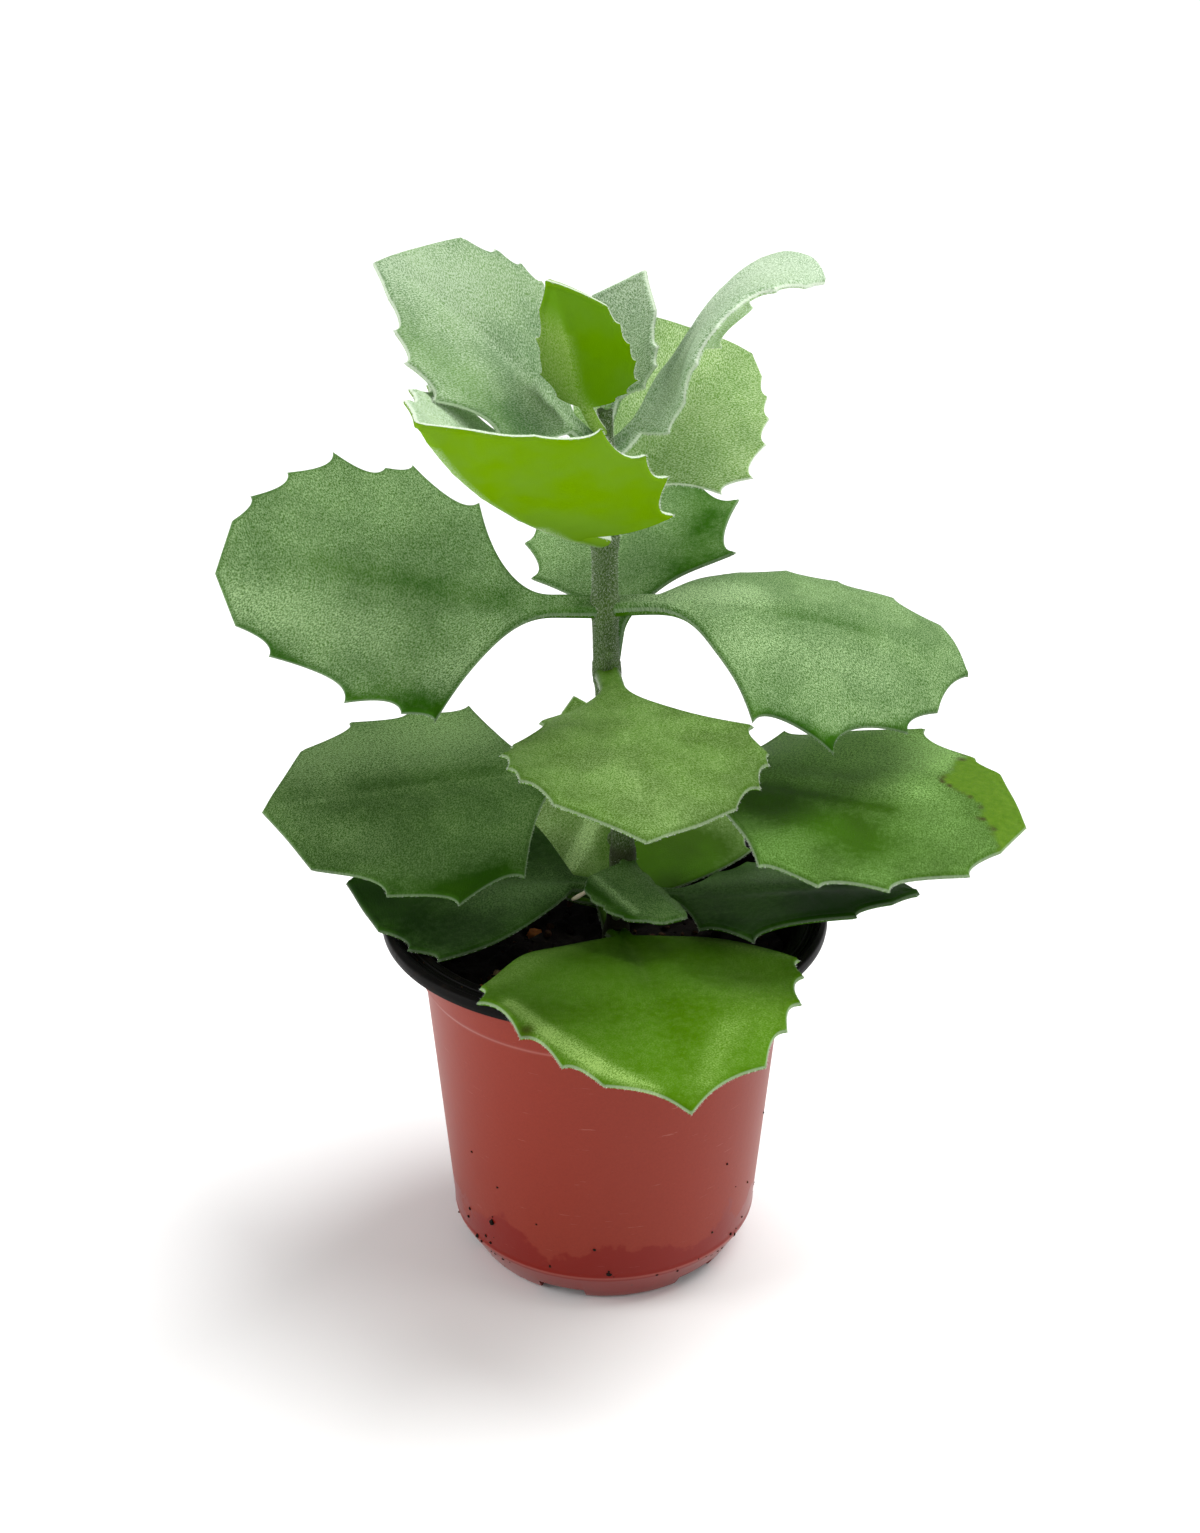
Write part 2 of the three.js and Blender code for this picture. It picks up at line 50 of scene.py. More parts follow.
POT = dict(
    wall=1.0, floor=1.2, foot_radius=31, bevel_radius=36, bevel_top=8.5, step_radius=41.5,
    step_height=71, step_out=1.2, neck_radius=44.4, rim_inner=45.2, rim_outer=51, rim_top=87,
    lip_drop=3.2,
)
SLOTS = dict(count=6, first=12, width=11, height=3, depth=6, corner=1.2)
SOIL = dict(level=74.5, relief=0.9, granules=12, granule_size=2.4, seed=7)
STEM = dict(
    top=203, tip_rise=0.9, base_radius=2.75, top_radius=1.7, taper_start=170, swelling=0.45,
    swelling_reach=3, bow=4.2, bow_height=100, bow_reach=30,
    nodes=(79, 89, 99, 122, 144.5, 159.5, 175, 193),
)
BUDS = (
    dict(height=149, azimuth=285, size=1.0),
    dict(height=103, azimuth=150, size=1.2),
    dict(height=86, azimuth=256, size=1.3),
)
STUB = dict(height=94.6, azimuth=204, length=13, radius=0.9, droop=-15)

MARGIN_HALF = 0.62
RIB_HALF = 1.3
STALK_ROUND = 0.85
NOTCH_ALONG = 0.3
# What a leaf has where its own row says nothing else.
USUAL_LEAF = dict(stalk=(11, 2.7), rib=RIB_HALF, notch=0.17, ends=(0, 0),
                  shoulders=((0.5, 0), (0.5, 0)), fold=((0, 0), (0, 0)))

# rise is a leaf's elevation and roll the blade's turn about its rib, each at the base, middle and tip.
# fold is the slope of the left and the right half beside the rib and 30 mm out from it. left and right
# are the teeth, as distance along the rib and out from it. shoulders say how far the margin's swing from
# the stalk to the first tooth is drawn ahead and outwards, notch is the depth between teeth and ends the
# depth between the last tooth and the tip, both as shares of their run. stalk is the stalk's length and
# half width, rib half the thickness at the rib, and look names the finish.
LEAVES = (
    dict(name="leaf_a_left", look="green", node=159.5, azimuth=180, rise=(0, 6, 8), length=84,
         roll=(-28, -41, -55), shoulders=((0.5, 0), (0.62, 0)),
         left=((34, 30), (41, 28), (53, 26), (70, 17), (78, 11)),
         right=((29, 26), (45, 33), (51, 31), (63, 32), (72, 25), (79, 18), (82, 12))),
    dict(name="leaf_a_right", look="green", node=159.5, azimuth=3, rise=(5, -12, -30), length=84,
         roll=(2, 12, 22), fold=((-6, -23), (-10, -22)), shoulders=((0.6, 0.8), (0.5, 0)),
         ends=(0, 0.12), left=((32, 28), (44, 30.5), (56, 28), (68, 22.5), (78, 16)),
         right=((31, 33), (52, 35), (71, 22.5), (78, 13.5))),
    dict(name="leaf_b_front", look="backlit", node=175, azimuth=236, rise=(22, 31, 54), length=74,
         roll=(-33, -24, -16), fold=((28, 58), (18, 17)),
         left=((22, 29), (36, 35), (47, 35), (60, 31), (66, 20)),
         right=((20, 24), (33, 30), (46, 30), (56, 25), (66, 15))),
    dict(name="leaf_b_back", look="pale", node=175, azimuth=48, rise=(44, 34, 11), length=59,
         roll=(24, 30, 36), fold=((9, 4), (4, 2)), shoulders=((0.75, 0), (0.75, 0)),
         left=((16, 20), (26, 25), (36, 25), (47, 20)),
         right=((21, 17), (29, 20.5), (39, 18), (46, 14.5), (51, 10.5), (55, 6))),
    dict(name="leaf_c_front", look="fresh", node=144.5, azimuth=276, rise=(4, -3, -17), length=73,
         roll=(8, 0, -9), fold=((-3, -1), (-6, 2)),
         left=((33, 27), (43.5, 28.5), (47, 28), (55, 25), (62, 19)),
         right=((24, 17), (35.5, 23.5), (40, 26), (48, 25), (54, 23), (62, 17))),
    dict(name="leaf_c_back", look="green", node=144.5, azimuth=82, rise=(34, 22, 16), length=68,
         roll=(-11, -8, -6), fold=((1, 1), (10, 5)),
         left=((29, 21.5), (42, 25), (50, 23), (59, 13)),
         right=((30, 27), (49.5, 25.5), (60, 14))),
    dict(name="leaf_d_left", look="grey", node=193, azimuth=180, rise=(43, 44, 28), length=62,
         roll=(-31, -31, -31), fold=((7, 1), (4, 2)), stalk=(9, 2.2), notch=0.22,
         shoulders=((0.35, 0.5), (0.5, 0)),
         left=((20, 20), (37, 24.5), (46.5, 21), (52, 15), (56, 8)),
         right=((20, 21), (32, 24.5), (37.5, 24), (43, 22.5), (49.5, 19))),
    dict(name="leaf_d_right", look="mint", node=193, azimuth=9, rise=(29, 57, -44), length=65.5,
         roll=(50, -10, 25), fold=((5, -61), (-1, 1)), stalk=(9, 2.2),
         shoulders=((0.6, 0.1), (0.3, 0.3)),
         left=((29.5, 26.5), (48.5, 26), (54.5, 13), (59, 14), (62.5, 7)),
         right=((13, 10.5), (21, 16), (29.5, 24), (37, 23.5), (42, 21), (46, 17), (50, 18), (58, 10))),
    dict(name="leaf_e_front", look="bud", node=197.5, azimuth=232, rise=(35, 75, 41), length=41,
         roll=(15, 5, -5), fold=((15, 17), (10, 18)), stalk=(9.5, 1.4), rib=0.9,
         shoulders=((0.1, 0.9), (0.1, 0.9)),
         left=((10.5, 6.5), (12, 9.5), (15.5, 12.5), (20.5, 13), (24.5, 12.5), (29, 11.5), (33, 10)),
         right=((11, 7.5), (15.5, 11), (20, 10), (23.5, 10.5), (30, 8))),
    dict(name="leaf_e_back", look="mint", node=198.5, azimuth=53, rise=(58, 68, 70), length=34,
         roll=(1, -3, -7), fold=((12, 10), (16, 12)), stalk=(6, 1.5), rib=0.9,
         left=((9, 10), (15, 12), (21, 12), (27, 11)),
         right=((10, 9), (15, 11), (19, 10), (26, 7))),
    dict(name="leaf_f_left", look="shade", node=122, azimuth=192, rise=(-3, -2, -3), length=78.5,
         roll=(-13, -15, -18), fold=((-6, -5), (-3, -5)), notch=0.14,
         left=((26, 29.5), (41, 34.5), (55.5, 29), (70, 18)),
         right=((28, 31.5), (42.5, 30), (56, 29), (68, 19.5))),
    dict(name="leaf_f_right", look="scarred", node=122, azimuth=-16, rise=(0, -1, -5), length=91,
         roll=(-4, 5, 15), fold=((-3, -2), (-2, 1)), notch=0.13,
         left=((32, 31), (64, 33.5), (77, 22), (83, 17.5)),
         right=((40, 34), (53, 36), (67, 31), (82, 19), (87, 10))),
    dict(name="leaf_g_front", look="shade", node=99, azimuth=293, rise=(-5, 1, 2), length=31.5,
         roll=(-11, -7, -3), fold=((-19, -11), (-10, -30)), stalk=(3, 2), notch=-0.12,
         ends=(-0.2, -0.2), shoulders=((0.5, 0), (0.1, 0.5)),
         left=((7, 2.2), (14, 2.4), (21, 3), (27, 3)),
         right=((4.5, 9.5), (8, 12.7), (12, 13), (17, 12), (23, 10.2), (28, 6.5))),
    dict(name="leaf_h_left", look="deep", node=89, azimuth=175, rise=(17, -3, 0), length=64,
         roll=(-3, -4, -9), fold=((1, -2), (2, 1)), shoulders=((0.35, 0.85), (0.45, 0.5)),
         left=((38, 32), (45.5, 27), (53, 20)),
         right=((23, 26), (33, 28), (44, 24), (54, 15))),
    dict(name="leaf_h_right", look="deep", node=89, azimuth=-8, rise=(1, 8, -1), length=68,
         roll=(-1, -4, -7), fold=((-5, -2), (1, -2)),
         left=((20, 17), (27, 23), (40, 26), (52, 20), (60, 12)),
         right=((20, 18), (33, 26.5), (54.5, 14.5), (62, 7.5))),
    dict(name="leaf_i_front", look="vivid", node=79, azimuth=280, rise=(22, 5, -18), length=85,
         roll=(-2, 0, 1), fold=((3, 2), (3, 2)), shoulders=((0.12, 0.6), (0.12, 0.6)),
         ends=(0.1, 0.1), left=((39.5, 33.5), (47, 32.5), (58, 29), (67.5, 23.5), (76, 17)),
         right=((38.5, 36), (46, 37.5), (60.5, 30.5), (70.5, 23.5), (76, 16))),
    dict(name="leaf_i_back", look="fresh", node=79, azimuth=99.5, rise=(8, 28, 62), length=72,
         roll=(0, 2, 4), fold=((4, 6), (6, 10)), shoulders=((0.15, 0.65), (0.15, 0.65)),
         left=((24, 20), (38, 23), (50, 20), (60, 12), (68, 3.5)),
         right=((22, 37), (35, 41), (49, 33), (60, 18))),
)
TIP_TEETH = ((4, 1.2), (6, 1))
TIP_LEAVES = tuple(
    dict(name=name, look="mint", node=202, azimuth=azimuth, rise=rise, roll=(0, 0, 0), length=length,
         stalk=(2.5, 0.8), rib=0.7, left=TIP_TEETH, right=TIP_TEETH)
    for name, azimuth, rise, length in (
        ("tip_leaf_front", 318, (70, 76, 84), 8),
        ("tip_leaf_back", 138, (82, 84, 86), 6),
    )
)

# ---- small helpers ----


def lerp(a, b, t):
    return a + (b - a) * t


def smoothstep(x, low, high):
    t = np.clip((x - low) / (high - low), 0, 1)
    return t * t * (3 - 2 * t)


def bump(gap, width):
    """1 where the gap is 0, and falling away smoothly on both sides."""
    return np.exp(-((gap / width) ** 2))


def direction(azimuth, elevation):
    turn, climb = np.radians(azimuth), np.radians(elevation)
    level = np.cos(climb)
    return np.stack([level * np.cos(turn), level * np.sin(turn), np.sin(climb) + 0 * turn], -1)


def unit(vectors):
    return vectors / np.maximum(np.linalg.norm(vectors, axis=-1, keepdims=True), 1e-9)


def fractal(points, scale, octaves, rough=0.5):
    """Layered noise at each point, about -1 to 1. scale is the size of its largest features."""
    values = [noise.fractal(Vector(p) / scale, 1.0, 1 / rough, octaves) for p in points]
    return np.array(values)


def colour(text):
    """A linear colour from RRGGBB."""
    parts = [int(text[i:i + 2], 16) / 255 for i in (0, 2, 4)]
    return tuple(c / 12.92 if c <= 0.04045 else ((c + 0.055) / 1.055) ** 2.4 for c in parts) + (1,)


def around(radius, turn):
    """The place so far from the axis, at an angle in radians."""
    return radius * math.cos(turn), radius * math.sin(turn)


def new_mesh(name, points, faces):
    """A mesh from points in mm."""
    mesh = bpy.data.meshes.new(name)
    mesh.from_pydata((np.asarray(points, float) * MM).tolist(), [], faces)
    return mesh


def add_object(name, data):
    made = bpy.data.objects.new(name, data)
    bpy.context.scene.collection.objects.link(made)
    return made


def make_piece(name, points, faces, materials, slot, replaces=None, attributes=None, first=None):
    """A smooth-shaded mesh from points in mm, riding on the part's one body.

    Where first is given, the faces after the first so many have the second material.
    """
    mesh = new_mesh(name, points, faces)
    for material in materials:
        mesh.materials.append(material)
    if first is not None:
        mesh.polygons.foreach_set("material_index", (np.arange(len(faces)) >= first).astype(np.int32))
    for key, values in (attributes or {}).items():
        values = np.asarray(values, np.float32)
        kind, field = ("FLOAT_VECTOR", "vector") if values.ndim == 2 else ("FLOAT", "value")
        mesh.attributes.new(key, kind, "POINT").data.foreach_set(field, values.ravel())
    mesh.shade_smooth()
    mesh.validate()
    piece = add_object(name, mesh)
    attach(piece, "root")
    if replaces:
        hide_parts(replaces)
    return piece


def ring_faces(rings, sides):
    """Quads between closed rings of points that follow each other."""
    faces = []
    for a in range(0, (rings - 1) * sides, sides):
        for i in range(sides):
            j = (i + 1) % sides
            faces.append((a + i, a + j, a + sides + j, a + sides + i))
    return faces


def circle(sides):
    """Angles that go round once, in radians."""
    return np.linspace(0, 2 * math.pi, sides, endpoint=False)


def capped_rings(rings, sides):
    """Faces of rings that follow each other, with a point before the first and one past the last."""
    faces = ring_faces(rings, sides)
    before, past, last = rings * sides, rings * sides + 1, (rings - 1) * sides
    for i in range(sides):
        j = (i + 1) % sides
        faces += [(before, j, i), (past, last + i, last + j)]
    return faces


def merged(parts):
    """One list of points and faces from several."""
    points, faces, count = [], [], 0
    for some, theirs in parts:
        points.append(some)
        faces += [tuple(count + i for i in face) for face in theirs]
        count += len(some)
    return np.concatenate(points), faces


# ---- materials ----


class Shader:
    """A new material with its Principled shader, and short ways to add and join nodes."""

    def __init__(self, name, roughness, specular, sheen=0, sheen_roughness=0.5, sheen_tint="FFFFFF"):
        self.material = bpy.data.materials.new(name)
        self.material.use_nodes = True
        self.tree = self.material.node_tree
        self.bsdf = self.tree.nodes["Principled BSDF"]
        for socket, value in (
            ("Roughness", roughness), ("Specular IOR Level", specular), ("Sheen Weight", sheen),
            ("Sheen Roughness", sheen_roughness), ("Sheen Tint", colour(sheen_tint)),
        ):
            self.bsdf.inputs[socket].default_value = value

    def put(self, socket, value):
        if isinstance(value, bpy.types.NodeSocket):
            self.tree.links.new(value, socket)
        else:
            socket.default_value = value

    def node(self, kind, values=None, out=0, **settings):
        made = self.tree.nodes.new(kind)
        for key, value in settings.items():
            setattr(made, key, value)
        for key, value in (values or {}).items():
            self.put(made.inputs[key], value)
        return made.outputs[out]

    def attribute(self, name, out="Fac"):
        return self.node("ShaderNodeAttribute", out=out, attribute_name=name)

    def place(self):
        """Where a point is on the object, in mm."""
        spot = self.node("ShaderNodeTexCoord", out="Object")
        return self.node("ShaderNodeVectorMath", {0: spot, "Scale": 1 / MM}, operation="SCALE")

    def math(self, operation, a, b=0.0, clamp=False):
        return self.node("ShaderNodeMath", {0: a, 1: b}, operation=operation, use_clamp=clamp)

    def times(self, a, b, clamp=False):
        return self.math("MULTIPLY", a, b, clamp)

    def ramp(self, value, low, high, to_low=0.0, to_high=1.0):
        values = {"Value": value, 1: low, 2: high, 3: to_low, 4: to_high}
        return self.node("ShaderNodeMapRange", values, interpolation_type="SMOOTHSTEP")

    def noise(self, where, size, detail, rough=0.5, distortion=0.0):
        values = {"Vector": where, "Scale": 1 / size, "Detail": detail, "Roughness": rough,
                  "Distortion": distortion}
        return self.node("ShaderNodeTexNoise", values)

    def mix(self, share, a, b):
        a, b = [colour(c) if isinstance(c, str) else c for c in (a, b)]
        made = self.tree.nodes.new("ShaderNodeMix")
        made.data_type = "RGBA"
        for index, value in ((0, share), (6, a), (7, b)):
            self.put(made.inputs[index], value)
        return made.outputs[2]

    def finish(self, base, height=None, depth=None, strength=None, roughness=None):
        """The material with its colour, and bumps as deep as given, in mm, where there is a height."""
        self.put(self.bsdf.inputs["Base Color"], base)
        if roughness is not None:
            self.put(self.bsdf.inputs["Roughness"], roughness)
        if height is not None:
            values = {"Strength": strength, "Distance": depth * MM, "Height": height}
            self.put(self.bsdf.inputs["Normal"], self.node("ShaderNodeBump", values))
        return self.material


def strands(shader, where, lean, size=0.25):
    """Short lying hairs, alike on both halves of a leaf: noise drawn out along one way. About 0 to 1."""
    where = shader.node("ShaderNodeVectorMath", {0: where}, operation="ABSOLUTE")
    values = {"Vector": where, "Rotation": (0, 0, lean), "Scale": (1.9, 0.8, 1)}
    drawn = shader.node("ShaderNodeMapping", values, vector_type="TEXTURE")
    return shader.ramp(shader.noise(drawn, size, 2.0, 0.65, 0.5), 0.38, 0.64)


# A leaf's finish. core is the green skin, felt its lying hairs and cover their share of the upper face.
# under and under_cover are the same below. rim is how white the margin is and line how much felt stays
# on the line beside it. bare is the skin where the felt is rubbed off.
LOOK_PARTS = ("core", "felt", "cover", "under", "under_cover", "roughness", "specular", "rim", "line",
              "bare")
LOOKS = {name: dict(zip(LOOK_PARTS, parts)) for name, *parts in (
    # deep and shade have darker skins: painted shade for leaves that lie under others.
    ("deep", "163600", "789A60", 0.12, "2C5400", 0.02, 0.5, 0.05, 0.08, 0.6),
    ("shade", "224800", "8CAC70", 0.30, "345E00", 0.02, 0.55, 0.06, 0.12, 0.6),
    ("scarred", "305400", "8EB868", 0.24, "3C6A00", 0.02, 0.46, 0.08, 0.25, 0.6, "6A8C24"),
    ("fresh", "365800", "A2C07C", 0.24, "4A7A00", 0.05, 0.46, 0.08, 0.22, 0.6),
    ("vivid", "467000", "9CC066", 0.06, "4A7C00", 0.03, 0.4, 0.03, 0.3, 0.6),
    ("green", "265400", "A8C690", 0.40, "3C6C00", 0.05, 0.6, 0.06, 0.16, 0.5),
    ("pale", "487810", "B8D09C", 0.52, "6C9C18", 0.2, 0.65, 0.06, 0.7, 0.9),
    ("grey", "3C6A2A", "B4CAA8", 0.54, "76A04C", 0.4, 0.7, 0.06, 0.8, 0.9),
    ("mint", "528040", "D4E6CC", 0.60, "76A04C", 0.4, 0.7, 0.08, 0.8, 0.9),
    # backlit and bud have bright yellow-green under colours: painted light shining through the blade.
    ("backlit", "6C9058", "D4E6CC", 0.60, "6C9600", 0.0, 0.7, 0.0, 0.85, 1),
    ("bud", "6C9058", "A4BE6C", 0.58, "689600", 0.0, 0.7, 0.0, 0.85, 1),
)}
# How far single hairs stand out: felt covers from 1 - SPECKLE to 1 + SPECKLE times its share.
SPECKLE = 0.75
# The skin where bands take away the most felt: painted shade, darker than the leaf's own green.
PAINTED_SHADE_GREEN = "0C2000"
HAIR_WHITE = "DDEAD4"
SCAR_BROWN = "3A2A14"


def speckle(shader, hairs):
    return shader.ramp(hairs, 0, 1, 1 - SPECKLE, 1 + SPECKLE)


def upper_material(name, look):
    shader = Shader(name, look["roughness"], look["specular"])
    where = shader.attribute("sheet", "Vector")
    edge = shader.attribute("edge")
    tone = shader.attribute("tone")
    hairs = strands(shader, where, 0.8)
    patch = shader.ramp(shader.noise(where, 14.0, 3.0), 0.32, 0.7)
    tuft = shader.noise(where, 1.5, 3.0, 0.6)
    core = shader.mix(shader.times(patch, 0.5), look["core"], look["under"])
    cover = look["cover"]
    uneven = 0.03 + 0.1 * cover
    tufts = shader.ramp(tuft, 0.3, 0.7, -0.05, 0.05)
    patches = shader.ramp(patch, 0, 1, -uneven, uneven)
    for part in (tufts, patches, tone):
        cover = shader.math("ADD", cover, part)
    cover = shader.times(cover, speckle(shader, hairs))
    bald = shader.attribute("bald")
    bare = shader.mix(tuft, look.get("bare", look["under"]), look["under"])
    core = shader.mix(bald, core, bare)
    # Painted shade: where the bands darken most, the skin turns to a deeper green.
    core = shader.mix(shader.ramp(tone, -0.9, -0.4, 0.8, 0.0), core, PAINTED_SHADE_GREEN)
    cover = shader.times(cover, shader.math("SUBTRACT", 1.0, bald), clamp=True)
    cover = shader.times(cover, shader.ramp(edge, 0.4, 1.4, look["line"], 1.0))
    base = shader.mix(cover, core, look["felt"])
    base = shader.mix(shader.ramp(edge, 0.05, 0.3, look["rim"], 0.0), base, HAIR_WHITE)
    base = shader.mix(shader.attribute("scar"), base, SCAR_BROWN)
    return shader.finish(base, hairs, 0.11, 0.65)


def under_material(name, look):
    shader = Shader(name, look["roughness"], look["specular"] * 0.5)
    where = shader.attribute("sheet", "Vector")
    hairs = strands(shader, where, 0.5)
    patch = shader.ramp(shader.noise(where, 11.0, 3.0), 0.32, 0.7)
    core = shader.mix(shader.times(patch, 0.15), look["under"], look["core"])
    cover = shader.math("ADD", shader.attribute("tone"), look["under_cover"], clamp=True)
    cover = shader.times(cover, speckle(shader, hairs), clamp=True)
    return shader.finish(shader.mix(cover, core, look["felt"]), hairs, 0.05, 0.4)


def hair_material():
    shader = Shader("plant_hair", 0.6, 0.3, sheen=0.3)
    tint = shader.noise(shader.place(), 6.0, 2.0)
    return shader.finish(shader.mix(tint, HAIR_WHITE, "FFFFFF"))


def stem_material():
    shader = Shader("stem_felt", 0.6, 0.12, 0.08, 0.45, "F2F8EE")
    where = shader.attribute("sheet", "Vector")
    hairs = strands(shader, where, 1.2, 0.3)
    age = shader.attribute("tone")
    mottle = shader.noise(shader.place(), 5.0, 3.0)
    green = shader.mix(mottle, "243F02", "456220")
    old = shader.mix(mottle, "0A0802", "2C2710")
    core = shader.mix(age, green, old)
    cover = shader.ramp(hairs, 0.2, 1.0, 0.0, 0.28)
    cover = shader.times(cover, shader.ramp(age, 0, 1, 1.0, 0.04))
    return shader.finish(shader.mix(cover, core, "B9C9AC"), hairs, 0.12, 0.6)


def dry_material():
    shader = Shader("dried_stalk", 0.7, 0.2)
    fibre = shader.noise(shader.place(), 0.8, 3.0)
    return shader.finish(shader.mix(fibre, "BCA888", "F2E8D2"), fibre, 0.1, 0.6)


# Painted highlights where the red sheet bends: the line's height, half width and strength.
PAINTED_HIGHLIGHT_LINES = ((9.0, 0.45, 0.3), (71.6, 0.7, 0.27), (1.0, 0.6, 0.2))


def red_plastic():
    """Brick-red sheet with a haze of dust, wiped off in patches near the foot, specks of soil, and
    painted highlights along its bends.
    """
    shader = Shader("pot_red", 0.42, 0.22, 0.14, 0.4, "FFF4F0")
    where = shader.place()
    height = shader.node("ShaderNodeSeparateXYZ", {0: where}, out="Z")
    cloud = shader.noise(where, 16.0, 5.0, 0.6)
    low = shader.ramp(height, 3.0, 29.0, 0.36, -0.18)
    wiped = shader.ramp(shader.math("ADD", cloud, low), 0.58, 0.63)
    foot = shader.ramp(height, 7.5, 9.0, 0.75, 0.0)
    wiped = shader.math("MAXIMUM", wiped, foot)
    grain = shader.noise(where, 0.5, 2.0)
    haze = shader.mix(grain, "7E2515", "8C2E1B")
    base = shader.mix(wiped, haze, "7A1000")
    spots = shader.node("ShaderNodeTexVoronoi", {"Vector": where, "Scale": 1 / 5.0}, out="Distance")
    some = shader.ramp(shader.noise(where, 11.0, 2.0), 0.5, 0.62)
    near_foot = shader.ramp(height, 10.0, 34.0, 1.0, 0.25)
    share = shader.times(shader.ramp(spots, 0.05, 0.075, 1.0, 0.0), some)
    base = shader.mix(shader.times(share, near_foot), base, "3A1009")
    scuffs = shader.node("ShaderNodeMapping", {"Vector": where, "Scale": (0.12, 0.12, 2.6)})
    line = shader.ramp(shader.noise(scuffs, 1.0, 3.0, 0.6), 0.69, 0.73)
    base = shader.mix(shader.times(line, 0.3), base, "C98A80")
    rough = shader.ramp(wiped, 0, 1, 0.46, 0.32)
    # Pale lines at the bends: painted highlights.
    for highlight_height, half, share in PAINTED_HIGHLIGHT_LINES:
        gap = shader.math("ABSOLUTE", shader.math("SUBTRACT", height, highlight_height))
        base = shader.mix(shader.ramp(gap, 0.2 * half, half, share, 0.0), base, "B8746A")
    return shader.finish(base, shader.noise(where, 1.6, 4.0), 0.08, 0.25, rough)


def black_plastic():
    shader = Shader("pot_black", 0.5, 0.06)
    where = shader.place()
    dust = shader.ramp(shader.noise(where, 3.0, 6.0, 0.7), 0.52, 0.8)
    base = shader.mix(shader.times(dust, 0.24), "050403", "3E2E22")
    rough = shader.ramp(dust, 0, 1, 0.42, 0.7)
    return shader.finish(base, shader.noise(where, 0.7, 3.0), 0.05, 0.3, rough)


def soil_material():
    shader = Shader("potting_mix", 0.9, 0.2)
    where = shader.place()
    lumps = shader.noise(where, 1.6, 6.0, 0.65)
    fibres = shader.noise(shader.node("ShaderNodeMapping", {"Vector": where, "Scale": (1, 0.3, 1)}),
                          0.7, 4.0, 0.6)
    # Near black: partly the mix's own dark colour, partly painted shade inside the pot.
    base = shader.mix(lumps, "030202", "1C130C")
    base = shader.mix(shader.ramp(fibres, 0.62, 0.72, 0.0, 0.4), base, "3A2818")
    return shader.finish(base, lumps, 0.7, 0.9)


def lump_material(name, roughness, specular, spread, split, one, other, depth):
    """Lumps of two kinds, each mottled between two colours. spread and split say which is where."""
    shader = Shader(name, roughness, specular)
    where = shader.place()
    grain = shader.noise(where, 0.9, 5.0, 0.65)
    which = shader.ramp(shader.noise(where, spread, 0.0), *split)
    base = shader.mix(which, shader.mix(grain, *one), shader.mix(grain, *other))
    return shader.finish(base, grain, depth, 0.8)


def crumb_material():
    dark, brown = ("050403", "20160E"), ("24160C", "5C3E28")
    return lump_material("soil_crumbs", 0.9, 0.2, 5.0, (0.55, 0.62), dark, brown, 0.3)


def clay_material():
    warm, light = ("8A3E10", "D88A48"), ("8A6A44", "D8B98A")
    return lump_material("fired_clay", 0.8, 0.25, 7.0, (0.52, 0.6), warm, light, 0.25)


# ---- stem ----


def stem_centre(height):
    height = np.asarray(height, float)
    bow = STEM["bow"] * bump(height - STEM["bow_height"], STEM["bow_reach"])
    return np.stack([bow, 0 * height, height], -1)


def stem_radius(height):
    height = np.asarray(height, float)
    taper = lerp(STEM["base_radius"], STEM["top_radius"],
                 smoothstep(height, STEM["taper_start"], STEM["top"]))
    gaps = np.abs(height[..., None] - np.array(STEM["nodes"], float))
    return taper + STEM["swelling"] * bump(gaps, 0.7 * STEM["swelling_reach"]).max(-1)


# Where the stem is brown, above its old foot: heights and half widths.
STEM_SCARS = ((101, 2.6), (92, 3), (85, 3))


def stem_body():
    """The shaft from under the soil to the tip: swollen and ringed at its nodes, ridged and uneven."""
    sides = 56
    low = SOIL["level"] - 8
    heights = np.arange(low, STEM["top"] + 0.01, 0.4)
    turns = circle(sides)
    out = np.stack([np.cos(turns), np.sin(turns), 0 * turns], -1)
    radii = stem_radius(heights)[:, None] * (1 + 0.03 * np.sin(turns * 4 + heights[:, None] * 0.05))
    gaps = heights[:, None] - np.array(STEM["nodes"], float)[None, :]
    rings = 0.16 * bump(np.abs(gaps) - 2.1, 0.45).sum(1)
    points = stem_centre(heights)[:, None, :] + out[None] * (radii + rings[:, None])[..., None]
    flat = points.reshape(-1, 3)
    bumps = fractal(flat, 2.2, 3) * 0.09
    outward = np.tile(out, (len(heights), 1))
    flat = flat + outward * bumps[:, None]
    flat = np.concatenate([flat, [stem_centre(low), stem_centre(STEM["top"] + STEM["tip_rise"])]])
    arc = np.append(np.tile(turns * STEM["base_radius"], len(heights)), (0, 0))
    rise = flat[:, 2]
    scars = sum(bump(rise - middle, half) for middle, half in STEM_SCARS)
    age = np.clip(smoothstep(-rise, -112, -84) * 0.75 + 0.5 * scars, 0, 1)
    sheet = np.stack([arc, rise, 0 * arc], -1)
    return flat, capped_rings(len(heights), sides), dict(sheet=sheet, tone=age)


def ball(centre, size, squash, lumps, seed, rings=12, sides=16):
    """A closed lump of rounded form about a point, with its surface pushed in and out by noise."""
    lifts = np.linspace(-math.pi / 2, math.pi / 2, rings + 1)[1:-1]
    turns = circle(sides)
    shell = [(math.cos(v) * math.cos(u), math.cos(v) * math.sin(u), math.sin(v))
             for v in lifts for u in turns]
    shell = np.array(shell + [(0, 0, -1), (0, 0, 1)])
    shell *= (1 + lumps * fractal(shell * 1.7 + seed * 7.3, 1.0, 3))[:, None]
    return np.asarray(centre) + shell * size * np.array(squash), capped_rings(rings - 1, sides)


